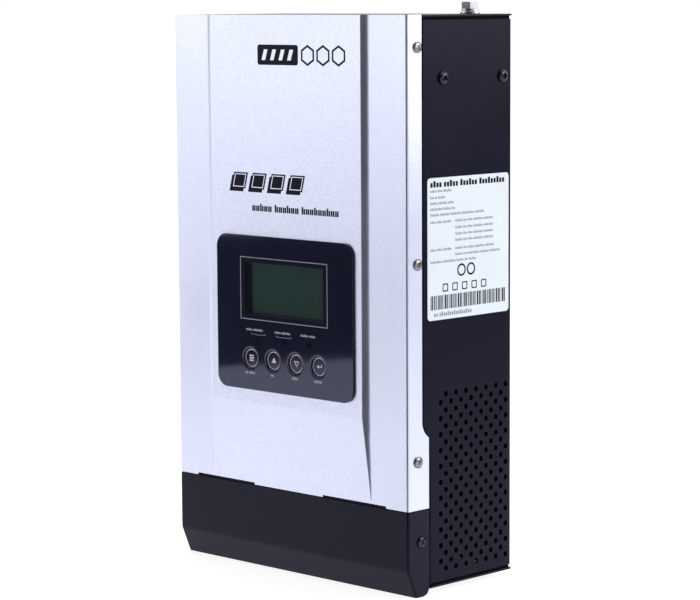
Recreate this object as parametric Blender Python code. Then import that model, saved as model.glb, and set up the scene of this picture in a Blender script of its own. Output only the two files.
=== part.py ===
"""Wall-mounted solar charge controller, modelled as the separate pieces it is built from.

Units are metres and +Z is up. X runs across the front and -Y is the front. The origin is at
the middle of the bottom of the bounding box. Every piece is a child of one empty that lies on
the covers' flat front face, so a piece's own Y is its depth behind that face, and it is
negative for what stands proud of the face.
"""

from math import asin, cos, pi, radians, sin, sqrt

import bmesh
import bpy
from mathutils import Matrix, Vector

MM = 0.001

# Case: outer size without screw heads, earthing bolt and display panel
WIDTH = 200 * MM
HEIGHT = 345 * MM
DEPTH = 93 * MM
SHEET = 1.2 * MM
GAP = 0.3 * MM
HALF = WIDTH / 2
FOLD_RADIUS = 1.5 * MM
FOLD_STEPS = 3

# Silver front cover
COVER_FOOT = 52.9 * MM
FLANGE_NARROW = 12.4 * MM
FLANGE_WIDE = 18.2 * MM
STEP_FOOT = 95.6 * MM
STEP_TOP = 105.5 * MM
STEP_ROWS = 4
PANEL_RAISE = 2.4 * MM
PANEL_HALF_FOOT = 68 * MM
PANEL_BEVEL_RUN = 3 * MM
RAMP_FOOT = 60 * MM
CUT_OUT_HALF = 52 * MM
CUT_OUT_FOOT = 120 * MM
CUT_OUT_TOP = 203 * MM
NOTCH_HEIGHT = 1.3 * MM
NOTCHES = ((-83 * MM, -31 * MM), (29 * MM, 82 * MM))

# Black terminal cover
TERMINAL_TOP = COVER_FOOT - 0.6 * MM
TOE_HEIGHT = 16.8 * MM
TOE_DEPTH = 7 * MM
TOE_LIP_REAR = 13 * MM

# Side panels, top and bottom
LIP_FRONT = 3.5 * MM
LIP_DROP = 1.5 * MM
SIDE_FOOT = 6.9 * MM
SIDE_TOP = 341.9 * MM
REAR_BEND = 2 * MM
REAR_FLANGE = 8 * MM
PANEL_FOOT = 3.8 * MM
EDGE_CLEARANCE = 1.2 * MM
BOTTOM_PANEL_FRONT = 8 * MM
FLANGE_INSET = 3.3 * MM

# Side perforation: staggered columns of round holes
HOLE_RADIUS = 1.7 * MM
HOLE_SIDES = 6
HOLE_COLUMNS = 14
FIRST_COLUMN = 28.7 * MM
COLUMN_PITCH = 4.55 * MM
ROW_PITCH = 9.63 * MM
LONG_COLUMN_FOOT = 14.1 * MM
LONG_COLUMN_HOLES = 12

# Keyhole slots in the back plate: radii of the entry and of the slot
KEYHOLE_XS = (-60 * MM, 60 * MM)
KEYHOLE_HEIGHTS = (50 * MM, 296 * MM)
KEYHOLE_ENTRY = 5 * MM
KEYHOLE_SLOT = 2.75 * MM
KEYHOLE_RISE = 10 * MM

# Screws and earthing bolt
SCREW_HEAD_RADIUS = 3.8 * MM
SCREW_HEAD_HEIGHT = 2.4 * MM
SCREW_SHANK_RADIUS = 1.8 * MM
SCREW_SHANK = 7 * MM
SCREW_HOLE_RADIUS = 2.2 * MM
COVER_SCREW_DEPTH = 8.6 * MM
COVER_SCREW_HEIGHTS = (326.2 * MM, 199.3 * MM, 81.8 * MM)
TERMINAL_SCREW_DEPTH = 11.3 * MM
TERMINAL_SCREW_HEIGHT = 33.3 * MM
SIDE_SCREW_DEPTHS = (30.9 * MM, 84.3 * MM)
SIDE_SCREW_HEIGHT = 308.1 * MM
BOLT_X = 84 * MM
BOLT_DEPTH = 73 * MM
BOLT_SHANK_RADIUS = 3 * MM
BOLT_ACROSS_FLATS = 10 * MM
BOLT_HEAD_HEIGHT = 4 * MM
BOLT_TURN = radians(14)
STACK_GAP = 0.15 * MM

# Display panel
OVERLAY_FRONT = -3.9 * MM
OVERLAY_THICKNESS = 1.2 * MM
OVERLAY_HALF = 59 * MM
OVERLAY_FOOT = 113.6 * MM
OVERLAY_TOP = 209.8 * MM
OVERLAY_CORNER = 8 * MM
WINDOW_HALF = 34.3 * MM
WINDOW_FOOT = 160.9 * MM
WINDOW_TOP = 193 * MM
KEY_HEIGHT = 133.3 * MM
KEY_XS = {"menu": -29.55 * MM, "up": -9.85 * MM, "down": 9.85 * MM, "enter": 29.55 * MM}
KEY_RADIUS = 5.8 * MM
KEY_STEM_RADIUS = 1.6 * MM
LAMP_XS = {"power": -22 * MM, "charge": 0.0, "fault": 22 * MM}
LAMP_HEIGHT = 145.5 * MM
DISPLAY_BOARD_FRONT = 7 * MM
BOARD_THICKNESS = 1.6 * MM

# Power electronics
MAIN_BOARD_FRONT = 32 * MM
SINK_FRONT = 36 * MM
SINK_REAR = 84 * MM
SINK_HALF = 88 * MM
SINK_FOOT = 150 * MM
SINK_TOP = 330 * MM
SINK_FINS = 16
FAN_XS = {"left": -42 * MM, "right": 42 * MM}
FAN_DEPTH = 61 * MM
FAN_HALF = 25 * MM
FAN_FOOT = 129.3 * MM
FAN_THICKNESS = 15 * MM
FAN_BLADES = 7
TRAY_FOOT = 127.5 * MM
BLOCK_FOOT = 26 * MM
BLOCK_FRONT = 14 * MM
POLE_XS = (-33 * MM, -11 * MM, 11 * MM, 33 * MM)
POLE_SCREW_HEIGHT = 39 * MM

# Cable entry
GROMMET_XS = (-45 * MM, -15 * MM, 15 * MM, 45 * MM)
GROMMET_DEPTH = 60 * MM
GROMMET_BORE = 8 * MM
SOCKET_X = -78 * MM
SOCKET_DEPTH = 52 * MM


def clear_scene():
    for old in list(bpy.data.objects):
        bpy.data.objects.remove(old)


def material(name, colour, roughness, metallic=0.0):
    made = bpy.data.materials.new(name)
    made.use_nodes = True
    shader = made.node_tree.nodes["Principled BSDF"]
    shader.inputs["Base Color"].default_value = (*colour, 1)
    shader.inputs["Roughness"].default_value = roughness
    shader.inputs["Metallic"].default_value = metallic
    made.diffuse_color = (*colour, 1)
    return made


def add_object(name, mesh, look, place=(0, 0, 0)):
    """A piece at `place`, in the frame of the covers' flat front face."""
    piece = bpy.data.objects.new(name, mesh)
    bpy.context.scene.collection.objects.link(piece)
    piece.parent = bpy.data.objects["front_face_frame"]
    piece.location = place
    if look and not mesh.materials:
        mesh.materials.append(look)
    return piece


def finished_mesh(name, bm, smooth_under=None):
    """The mesh of `bm`, with edges flatter than `smooth_under` degrees shaded smooth."""
    mesh = bpy.data.meshes.new(name)
    bm.to_mesh(mesh)
    bm.free()
    if smooth_under:
        mesh.shade_smooth()
        mesh.set_sharp_from_angle(angle=radians(smooth_under))
    return mesh


def prism_into(bm, outline, axis, span):
    """Adds an outline to `bm`, extruded along an axis from span[0] to span[1].

    The outline's points are (x, depth) along Z, (x, z) along Y and (depth, z) along X.
    """
    slot = {"X": 0, "Y": 1, "Z": 2}[axis]
    loop = []
    for point in outline:
        corner = list(point)
        corner.insert(slot, span[0])
        loop.append(bm.verts.new(corner))
    face = bm.faces.new(loop)
    shift = Vector()
    shift[slot] = span[1] - span[0]
    grown = bmesh.ops.extrude_face_region(bm, geom=[face], use_keep_orig=True)
    moved = [item for item in grown["geom"] if isinstance(item, bmesh.types.BMVert)]
    bmesh.ops.translate(bm, vec=shift, verts=moved)


def prism(name, look, outlines, axis, span, smooth_under=None):
    """One object of one or more outlines, each extruded over the same span."""
    bm = bmesh.new()
    for outline in outlines:
        prism_into(bm, outline, axis, span)
    bmesh.ops.recalc_face_normals(bm, faces=bm.faces)
    return add_object(name, finished_mesh(name, bm, smooth_under), look)


def blocks(name, look, spans):
    """One object of plain blocks, each given as its (x, depth, z) ranges."""
    bm = bmesh.new()
    for x, depth, z in spans:
        outline = [(x[0], depth[0]), (x[1], depth[0]), (x[1], depth[1]), (x[0], depth[1])]
        prism_into(bm, outline, "Z", z)
    bmesh.ops.recalc_face_normals(bm, faces=bm.faces)
    return add_object(name, finished_mesh(name, bm), look)


def circle(centre, radius, sides, start=0.0):
    turns = [start + 2 * pi * i / sides for i in range(sides)]
    return [(centre[0] + radius * cos(a), centre[1] + radius * sin(a)) for a in turns]


def rounded_rectangle(x, z, radius, steps=5):
    """The corners of a rectangle, each replaced by an arc."""
    points = []
    corners = ((x[1], z[1], 0), (x[0], z[1], 90), (x[0], z[0], 180), (x[1], z[0], 270))
    for corner_x, corner_z, start in corners:
        inward_x = -1 if corner_x == x[1] else 1
        inward_z = -1 if corner_z == z[1] else 1
        for i in range(steps + 1):
            a = radians(start + 90 * i / steps)
            points.append(
                (
                    corner_x + inward_x * radius + radius * cos(a),
                    corner_z + inward_z * radius + radius * sin(a),
                )
            )
    return points


def turned_mesh(name, profile, sides, closed=False, smooth_under=40):
    """A profile of (radius, height) points turned about Z.

    An open profile starts and ends on the axis. A closed one is the section of a ring.
    """
    bm = bmesh.new()
    points = [bm.verts.new((radius, 0, height)) for radius, height in profile]
    pairs = list(zip(points, points[1:]))
    if closed:
        pairs.append((points[-1], points[0]))
    edges = [bm.edges.new(pair) for pair in pairs]
    bmesh.ops.spin(
        bm, geom=points + edges, axis=(0, 0, 1), cent=(0, 0, 0),
        angle=2 * pi, steps=sides, use_merge=True,
    )
    bmesh.ops.remove_doubles(bm, verts=bm.verts, dist=1e-6)
    bmesh.ops.recalc_face_normals(bm, faces=bm.faces)
    return finished_mesh(name, bm, smooth_under)


def as_helper(piece):
    piece.hide_render = True
    piece.display_type = "WIRE"
    return piece


def combine(piece, other, operation):
    as_helper(other)
    step = piece.modifiers.new(f"{operation.lower()}_{other.name}", "BOOLEAN")
    step.operation = operation
    step.object = other


def cut(piece, *cutters):
    for cutter in cutters:
        combine(piece, cutter, "DIFFERENCE")


def join(piece, *others):
    for other in others:
        combine(piece, other, "UNION")


def round_cutter(name, centres, radius, axis, span, sides=12):
    outlines = [circle(centre, radius, sides, pi / sides) for centre in centres]
    return prism(name, None, outlines, axis, span)


def sheet_from_rows(name, look, rows, extra_faces=()):
    """A folded sheet: rows of points joined into a grid, then thickened inwards.

    `extra_faces` lists further faces as (row, column) pairs of the same grid.
    """
    bm = bmesh.new()
    grid = [[bm.verts.new(point) for point in row] for row in rows]
    for low, high in zip(grid, grid[1:]):
        for i in range(len(low) - 1):
            bm.faces.new((low[i], low[i + 1], high[i + 1], high[i]))
    for face in extra_faces:
        bm.faces.new([grid[row][column] for row, column in face])
    bmesh.ops.remove_doubles(bm, verts=bm.verts, dist=1e-6)
    piece = add_object(name, finished_mesh(name, bm, 35), look)
    thickness = piece.modifiers.new("sheet_thickness", "SOLIDIFY")
    thickness.thickness = SHEET
    thickness.offset = -1
    thickness.use_even_offset = True
    return piece


def fold_arc(front):
    """The rounded fold between a cover's front and its right flange."""
    arc = []
    for i in range(FOLD_STEPS + 1):
        a = pi / 2 * i / FOLD_STEPS
        across = HALF - FOLD_RADIUS + FOLD_RADIUS * sin(a)
        arc.append((across, front + FOLD_RADIUS - FOLD_RADIUS * cos(a)))
    return arc


def mirrored_row(half, z):
    section = [(-x, depth) for x, depth in reversed(half)] + half
    return [(x, depth, z) for x, depth in section]


def flange_rear(z):
    """Depth of the covers' flange edge, which steps out below the front cover's curve."""
    if z >= STEP_TOP:
        return FLANGE_NARROW
    if z <= STEP_FOOT:
        return FLANGE_WIDE
    rise = STEP_TOP - STEP_FOOT
    run = FLANGE_WIDE - FLANGE_NARROW
    radius = (rise**2 + run**2) / (2 * run)
    return FLANGE_NARROW + radius - sqrt(radius**2 - (STEP_TOP - z) ** 2)


def step_heights():
    return [STEP_FOOT + (STEP_TOP - STEP_FOOT) * i / STEP_ROWS for i in range(STEP_ROWS + 1)]


def front_cover(look):
    """Pressed sheet whose raised middle panel ramps back into the sheet near the foot."""
    rows = []
    for z in [COVER_FOOT, RAMP_FOOT] + step_heights() + [HEIGHT]:
        share = min(max((z - RAMP_FOOT) / (STEP_TOP - RAMP_FOOT), 0), 1)
        panel_half = PANEL_HALF_FOOT - PANEL_BEVEL_RUN * share
        half = [(panel_half, -PANEL_RAISE * share), (PANEL_HALF_FOOT, 0)]
        half += fold_arc(0) + [(HALF, flange_rear(z))]
        rows.append(mirrored_row(half, z))
    cover = sheet_from_rows("front_cover", look, rows)
    cut_out = blocks(
        "display_cut_out",
        None,
        [((-CUT_OUT_HALF, CUT_OUT_HALF), (-6 * MM, 3 * MM), (CUT_OUT_FOOT, CUT_OUT_TOP))],
    )
    notch_top = COVER_FOOT + NOTCH_HEIGHT
    notches = [(x, (-2 * MM, 3 * MM), (COVER_FOOT - 2 * MM, notch_top)) for x in NOTCHES]
    cut(cover, cut_out, blocks("notch_cutter", None, notches))
    return cover


def terminal_cover(look):
    """Folded sheet with a toe that slopes back to a short lip underneath.

    A tab along its top edge lies behind the front cover and shows in that cover's notches.
    """
    rows = []
    toe_heights = [(0, TOE_LIP_REAR), (1.0 * MM, 16.3 * MM), (3.8 * MM, FLANGE_WIDE)]
    for z, rear in toe_heights + [(TOE_HEIGHT, FLANGE_WIDE), (TERMINAL_TOP, FLANGE_WIDE)]:
        front = TOE_DEPTH * max(1 - z / TOE_HEIGHT, 0)
        rows.append(mirrored_row(fold_arc(front) + [(HALF, rear)], z))
    lowest = [(0, column) for column in reversed(range(len(rows[0])))]
    cover = sheet_from_rows("terminal_cover", look, rows, [lowest])
    tab_x = (-88 * MM, 88 * MM)
    rear = 2 * SHEET + GAP
    tab = blocks("cover_tab", None, [(tab_x, (SHEET + GAP, rear), (46 * MM, COVER_FOOT + 7 * MM))])
    web_z = (45.5 * MM, 51.5 * MM)
    join(cover, tab, blocks("tab_web", None, [(tab_x, (0.9 * MM, rear - 0.2 * MM), web_z)]))
    return cover


def side_panel(name, look, side):
    """Sheet with a stepped lip that lies under the covers' flanges and a folded rear edge."""
    rows = []
    lip_slope_top = 24 * MM
    for z in [SIDE_FOOT, lip_slope_top] + step_heights() + [SIDE_TOP]:
        lip_front = LIP_FRONT + (6 * MM if z == SIDE_FOOT else 0)
        step = flange_rear(z) - 0.2 * MM
        section = [
            (HALF - LIP_DROP, lip_front),
            (HALF - LIP_DROP, step),
            (HALF - 0.35 * MM, step + 1.2 * MM),
            (HALF, step + 1.7 * MM),
            (HALF, DEPTH - REAR_BEND),
            (HALF - 0.6 * MM, DEPTH - 0.6 * MM),
            (HALF - REAR_BEND, DEPTH),
            (HALF - REAR_FLANGE, DEPTH),
        ]
        row = [(side * x, depth, z) for x, depth in section]
        rows.append(row if side > 0 else row[::-1])
    return sheet_from_rows(name, look, rows)


def perforation():
    """Outlines of the side holes: long columns alternate with columns one hole shorter."""
    centres = []
    for column in range(HOLE_COLUMNS):
        long = column % 2
        foot = LONG_COLUMN_FOOT + (0 if long else ROW_PITCH / 2)
        for row in range(LONG_COLUMN_HOLES - (0 if long else 1)):
            centres.append((FIRST_COLUMN + column * COLUMN_PITCH, foot + row * ROW_PITCH))
    return [circle(centre, HOLE_RADIUS, HOLE_SIDES, pi / HOLE_SIDES) for centre in centres]


def screw_holes(centres):
    return [circle(centre, SCREW_HOLE_RADIUS, 12, pi / 12) for centre in centres]


def end_panel(name, look, z, front_edge, flange_end):
    """Top or bottom panel: narrow between the covers, full width behind their flanges."""
    inner = HALF - LIP_DROP
    start = flange_end + EDGE_CLEARANCE
    right = front_edge + [(inner, start), (HALF, start), (HALF, DEPTH)]
    outline = right + [(-x, depth) for x, depth in reversed(right)]
    return prism(name, look, [outline], "Z", z)


def side_flanges(name, depth, z):
    inner = HALF - FLANGE_INSET - SHEET
    outer = HALF - FLANGE_INSET
    return blocks(name, None, [((-outer, -inner), depth, z), ((inner, outer), depth, z)])


def top_panel(look):
    """Outlet slots over the heat sink, deep side flanges and the earthing bolt's hole.

    Its front edge steps forward into the hollow of the cover's raised panel.
    """
    tongue = PANEL_HALF_FOOT - PANEL_BEVEL_RUN - 2 * SHEET
    front = SHEET + GAP
    raised = front - PANEL_RAISE
    edge = [(tongue, raised), (tongue, front), (HALF - LIP_DROP, front)]
    panel = end_panel("top_panel", look, (HEIGHT - SHEET, HEIGHT), edge, FLANGE_NARROW)
    z = (HEIGHT - 45 * MM, HEIGHT - SHEET / 2)
    join(panel, side_flanges("top_flanges", (23 * MM, 89 * MM), z))
    slots = []
    for i in range(13):
        middle = (i - 6) * 10 * MM
        slots.append(((middle - 1.75 * MM, middle + 1.75 * MM), (42 * MM, 82 * MM)))
    span = (HEIGHT - 3 * MM, HEIGHT + 2 * MM)
    cut(panel, blocks("outlet_slots", None, [(x, depth, span) for x, depth in slots]))
    cut(panel, round_cutter("bolt_hole", [(BOLT_X, BOLT_DEPTH)], 3.4 * MM, "Z", span))
    return panel


def bottom_panel(look):
    edge = [(HALF - LIP_DROP, BOTTOM_PANEL_FRONT)]
    span_z = (PANEL_FOOT, PANEL_FOOT + SHEET)
    panel = end_panel("bottom_panel", look, span_z, edge, FLANGE_WIDE)
    z = (PANEL_FOOT + SHEET / 2, 11.5 * MM)
    join(panel, side_flanges("bottom_flanges", (24 * MM, 89 * MM), z))
    span = (PANEL_FOOT - 2 * MM, PANEL_FOOT + SHEET + 2 * MM)
    centres = [(x, GROMMET_DEPTH) for x in GROMMET_XS]
    cut(panel, round_cutter("grommet_holes", centres, 10.6 * MM, "Z", span, 16))
    opening_x = (SOCKET_X - 8.3 * MM, SOCKET_X + 8.3 * MM)
    opening_depth = (SOCKET_DEPTH - 7 * MM, SOCKET_DEPTH + 7 * MM)
    cut(panel, blocks("socket_hole", None, [(opening_x, opening_depth, span)]))
    return panel


def keyhole(x, z):
    """Round entry for a screw head with a slot for its shank above it."""
    mouth = asin(KEYHOLE_SLOT / KEYHOLE_ENTRY)
    outline = []
    steps = 12
    for i in range(steps + 1):
        a = pi / 2 + mouth + (2 * pi - 2 * mouth) * i / steps
        outline.append((x + KEYHOLE_ENTRY * cos(a), z + KEYHOLE_ENTRY * sin(a)))
    for i in range(5):
        a = pi * i / 4
        top = z + KEYHOLE_RISE + KEYHOLE_SLOT * sin(a)
        outline.append((x + KEYHOLE_SLOT * cos(a), top))
    return outline


def back_plate(look):
    """Flat sheet inside the side panels' rear flanges, with four keyhole slots."""
    half = HALF - 3 * MM
    rear = DEPTH - SHEET - GAP
    span_z = (PANEL_FOOT + SHEET + GAP, HEIGHT - SHEET - GAP)
    plate = blocks("back_plate", look, [((-half, half), (rear - SHEET, rear), span_z)])
    keyholes = [keyhole(x, z) for x in KEYHOLE_XS for z in KEYHOLE_HEIGHTS]
    cut(plate, prism("keyholes", None, keyholes, "Y", (rear - 4 * MM, rear + 3 * MM)))


def cross_recess_screw_mesh(name, head_radius, head_height, shank_radius, shank):
    """Pan head pointing up +Z from the seat, with a cross recess; twelve sides throughout."""
    sides = 12
    arm = 0.56 * head_radius
    slit = 0.15 * head_radius
    cross = []
    for quarter in range(4):
        turn = Matrix.Rotation(pi / 2 * quarter, 2)
        cross += [turn @ Vector(p) for p in ((arm, slit), (slit * 1.3, slit * 1.3), (slit, arm))]
    levels = [(shank_radius, -shank), (shank_radius, 0), (head_radius, 0)]
    levels += [(head_radius, 0.3 * head_height), (0.88 * head_radius, 0.75 * head_height)]
    levels += [(0.66 * head_radius, head_height)]
    bm = bmesh.new()
    rings = []
    for radius, z in levels:
        points = circle((0, 0), radius, sides, pi / sides)
        rings.append([bm.verts.new((x, y, z)) for x, y in points])
    for z in (head_height, 0.4 * head_height):
        rings.append([bm.verts.new((p.x, p.y, z)) for p in cross])
    for low, high in zip(rings, rings[1:]):
        for i in range(sides):
            j = (i + 1) % sides
            bm.faces.new((low[i], low[j], high[j], high[i]))
    bm.faces.new(rings[0][::-1])
    bm.faces.new(rings[-1])
    bmesh.ops.recalc_face_normals(bm, faces=bm.faces)
    return finished_mesh(name, bm, 40)


def put_side_screw(name, mesh, look, side, depth, z):
    """A screw with its axis along X, its head a gap outside the case."""
    screw = add_object(name, mesh, look, (side * (HALF + GAP), depth, z))
    screw.rotation_euler = (0, side * pi / 2, 0)
    return screw


def screws(silver, black):
    size = (SCREW_HEAD_RADIUS, SCREW_HEAD_HEIGHT, SCREW_SHANK_RADIUS, SCREW_SHANK)
    silver_mesh = cross_recess_screw_mesh("silver_screw", *size)
    black_mesh = cross_recess_screw_mesh("black_screw", *size)
    for side, word in ((-1, "left"), (1, "right")):
        for z, place in zip(COVER_SCREW_HEIGHTS, ("top", "middle", "foot")):
            name = f"cover_screw_{word}_{place}"
            put_side_screw(name, silver_mesh, silver, side, COVER_SCREW_DEPTH, z)
        name = f"terminal_cover_screw_{word}"
        put_side_screw(name, black_mesh, black, side, TERMINAL_SCREW_DEPTH, TERMINAL_SCREW_HEIGHT)
        for depth, place in zip(SIDE_SCREW_DEPTHS, ("front", "rear")):
            name = f"side_screw_{word}_{place}"
            put_side_screw(name, black_mesh, black, side, depth, SIDE_SCREW_HEIGHT)


def earthing_bolt(look):
    """Flat washer, spring washer and hexagon-head bolt, stacked on the top panel."""
    flat, spring = 1.2 * MM, 1.4 * MM
    hole = BOLT_SHANK_RADIUS + 0.3 * MM
    seat = HEIGHT + STACK_GAP
    profile = [(hole, 0), (6 * MM, 0), (6 * MM, flat), (hole, flat)]
    washer = turned_mesh("earth_flat_washer", profile, 20, closed=True)
    add_object("earth_flat_washer", washer, look, (BOLT_X, BOLT_DEPTH, seat))
    seat += flat + STACK_GAP

    bm = bmesh.new()
    profile = [(hole, 0), (5.3 * MM, 0), (5.3 * MM, spring), (hole, spring)]
    corners = [bm.verts.new((radius, 0, z)) for radius, z in profile]
    section = bm.faces.new(corners)
    bmesh.ops.spin(
        bm, geom=[section, *section.edges, *corners], axis=(0, 0, 1), cent=(0, 0, 0),
        angle=radians(348), steps=18,
    )
    bmesh.ops.recalc_face_normals(bm, faces=bm.faces)
    ring = add_object(
        "earth_spring_washer",
        finished_mesh("earth_spring_washer", bm, 40),
        look,
        (BOLT_X, BOLT_DEPTH, seat),
    )
    ring.rotation_euler.z = radians(-60)
    seat += spring + STACK_GAP

    corner = BOLT_ACROSS_FLATS / sqrt(3)
    bm = bmesh.new()
    shank = circle((0, 0), BOLT_SHANK_RADIUS, 12)
    prism_into(bm, circle((0, 0), corner, 6, BOLT_TURN), "Z", (0, BOLT_HEAD_HEIGHT))
    bmesh.ops.recalc_face_normals(bm, faces=bm.faces)
    top = [face for face in bm.faces if face.normal.z > 0.9]
    bmesh.ops.inset_region(bm, faces=top, thickness=0.5 * MM, depth=0.3 * MM)
    head = add_object(
        "earth_bolt", finished_mesh("earth_bolt", bm, 30), look, (BOLT_X, BOLT_DEPTH, seat)
    )
    stem = prism("earth_bolt_shank", None, [shank], "Z", (-16 * MM, 1 * MM))
    stem.location = head.location
    join(head, stem)


def display_overlay(look):
    rear = OVERLAY_FRONT + OVERLAY_THICKNESS
    outline = rounded_rectangle(
        (-OVERLAY_HALF, OVERLAY_HALF), (OVERLAY_FOOT, OVERLAY_TOP), OVERLAY_CORNER
    )
    overlay = prism("display_overlay", look, [outline], "Y", (OVERLAY_FRONT, rear), 40)
    through = (OVERLAY_FRONT - 1 * MM, rear + 1 * MM)
    window = ((-WINDOW_HALF, WINDOW_HALF), through, (WINDOW_FOOT, WINDOW_TOP))
    keys = [(x, KEY_HEIGHT) for x in KEY_XS.values()]
    lamps = [(x, LAMP_HEIGHT) for x in LAMP_XS.values()]
    cut(
        overlay,
        blocks("window_cutter", None, [window]),
        round_cutter("key_holes", keys, KEY_RADIUS + GAP, "Y", through, 16),
        round_cutter("lamp_holes", lamps, 0.9 * MM, "Y", through, 8),
    )
    return overlay


def screen(pane_look, module_look):
    """Clear pane in the overlay's window, and the screen module set back behind it."""
    pane_x = (-WINDOW_HALF + GAP, WINDOW_HALF - GAP)
    pane_z = (WINDOW_FOOT + GAP, WINDOW_TOP - GAP)
    pane_depth = (OVERLAY_FRONT + 0.2 * MM, OVERLAY_FRONT + 1 * MM)
    blocks("display_window", pane_look, [(pane_x, pane_depth, pane_z)])
    body = ((-37.5 * MM, 37.5 * MM), (-2.3 * MM, DISPLAY_BOARD_FRONT - GAP), (156 * MM, 198 * MM))
    module = blocks("screen_module", module_look, [body])
    well_z = (WINDOW_FOOT - 0.4 * MM, WINDOW_TOP + 0.4 * MM)
    well = ((-WINDOW_HALF - 0.4 * MM, WINDOW_HALF + 0.4 * MM), (-4 * MM, 0), well_z)
    cut(module, blocks("screen_well", None, [well]))


def keys_and_switches(key_look, switch_look):
    """Each key is a cap with a retaining rim and a stem that enters its switch."""
    rear = OVERLAY_FRONT + OVERLAY_THICKNESS
    rim = KEY_RADIUS + 1.1 * MM
    profile = [
        (0, 6.9 * MM), (KEY_STEM_RADIUS, 6.9 * MM), (KEY_STEM_RADIUS, 4.1 * MM),
        (KEY_RADIUS, 4.1 * MM), (KEY_RADIUS, 1.7 * MM), (rim, 1.7 * MM), (rim, 0.5 * MM),
        (KEY_RADIUS, 0.5 * MM), (KEY_RADIUS, 0.15 * MM), (KEY_RADIUS - 0.3 * MM, 0), (0, 0),
    ]
    mesh = turned_mesh("key", profile, 16)
    mesh.transform(Matrix.Rotation(-pi / 2, 4, "X"))
    switch_front = 2.6 * MM
    switch_rear = DISPLAY_BOARD_FRONT - GAP
    for word, x in KEY_XS.items():
        add_object(f"key_{word}", mesh, key_look, (x, rear, KEY_HEIGHT))
        reach = 3 * MM
        body = ((x - reach, x + reach), (switch_front, switch_rear),
                (KEY_HEIGHT - reach, KEY_HEIGHT + reach))
        switch = blocks(f"tact_switch_{word}", switch_look, [body])
        pocket = round_cutter(
            f"pocket_{word}", [(x, KEY_HEIGHT)], 2.1 * MM, "Y", (1 * MM, 5.2 * MM)
        )
        cut(switch, pocket)


def indicator_lamps(look):
    """Domed lamps standing on the display board behind the pin-holes."""
    length = DISPLAY_BOARD_FRONT - GAP + 2.2 * MM
    profile = [(0, 0), (1.9 * MM, 0), (1.9 * MM, 1 * MM), (1.5 * MM, 1 * MM)]
    for i in range(4):
        a = radians(30 * i)
        profile.append((1.5 * MM * cos(a), length - 1.5 * MM + 1.5 * MM * sin(a)))
    profile[-1] = (0, length)
    mesh = turned_mesh("lamp", profile, 12)
    mesh.transform(Matrix.Rotation(pi / 2, 4, "X"))
    for word, x in LAMP_XS.items():
        place = (x, DISPLAY_BOARD_FRONT - GAP, LAMP_HEIGHT)
        add_object(f"indicator_{word}", mesh, look, place)


def ribbon_cable(look):
    """Flat cable in an S from the display board's rear to the main board's front."""
    start = Vector((DISPLAY_BOARD_FRONT + BOARD_THICKNESS + GAP, 176 * MM))
    end = Vector((MAIN_BOARD_FRONT - GAP, 150 * MM))
    reach = Vector((11 * MM, 0))
    bends = (start, start + reach, end - reach, end)
    half = 0.4 * MM
    near, far = [], []
    count = 12
    for i in range(count + 1):
        t = i / count
        weights = ((1 - t) ** 3, 3 * t * (1 - t) ** 2, 3 * t * t * (1 - t), t**3)
        middle = sum((w * p for w, p in zip(weights, bends)), Vector((0, 0)))
        slopes = (-((1 - t) ** 2), (1 - t) * (1 - 3 * t), t * (2 - 3 * t), t * t)
        along = sum((w * p for w, p in zip(slopes, bends)), Vector((0, 0))).normalized()
        across = Vector((-along.y, along.x)) * half
        near.append(middle + across)
        far.append(middle - across)
    outline = [tuple(p) for p in near + far[::-1]]
    prism("display_ribbon_cable", look, [outline], "X", (-9 * MM, 9 * MM), 40)


def boards(look):
    display_z = (122 * MM, 201 * MM)
    display_depth = (DISPLAY_BOARD_FRONT, DISPLAY_BOARD_FRONT + BOARD_THICKNESS)
    blocks("display_board", look, [((-50 * MM, 50 * MM), display_depth, display_z)])
    depth = (MAIN_BOARD_FRONT, MAIN_BOARD_FRONT + BOARD_THICKNESS)
    main = blocks("main_board", look, [((-88 * MM, 88 * MM), depth, (24 * MM, 332 * MM))])
    parts = []
    top = MAIN_BOARD_FRONT + BOARD_THICKNESS / 2
    for x in (-66 * MM, -28 * MM, 28 * MM, 66 * MM):
        parts.append(((x - 9.5 * MM, x + 9.5 * MM), (top - 15 * MM, top), (66 * MM, 82 * MM)))
    parts.append(((-7 * MM, 7 * MM), (top - 2.6 * MM, top), (214 * MM, 228 * MM)))
    parts.append(((-11 * MM, 11 * MM), (top - 4 * MM, top), (134 * MM, 142 * MM)))
    join(main, blocks("soldered_parts", None, parts))


def heat_sink(look):
    """Base plate with upright fins: air from the fans passes between them to the top."""
    base = SINK_FRONT + 6 * MM
    fin_half = 1 * MM
    pitch = 2 * (SINK_HALF - fin_half) / (SINK_FINS - 1)
    outline = [(-SINK_HALF, SINK_FRONT), (SINK_HALF, SINK_FRONT)]
    for i in range(SINK_FINS):
        middle = SINK_HALF - fin_half - i * pitch
        right, left = middle + fin_half, middle - fin_half
        if i:
            outline.append((right, base))
        outline += [(right, SINK_REAR), (left, SINK_REAR)]
        if i < SINK_FINS - 1:
            outline.append((left, base))
    prism("heat_sink", look, [outline], "Z", (SINK_FOOT, SINK_TOP))


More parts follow.
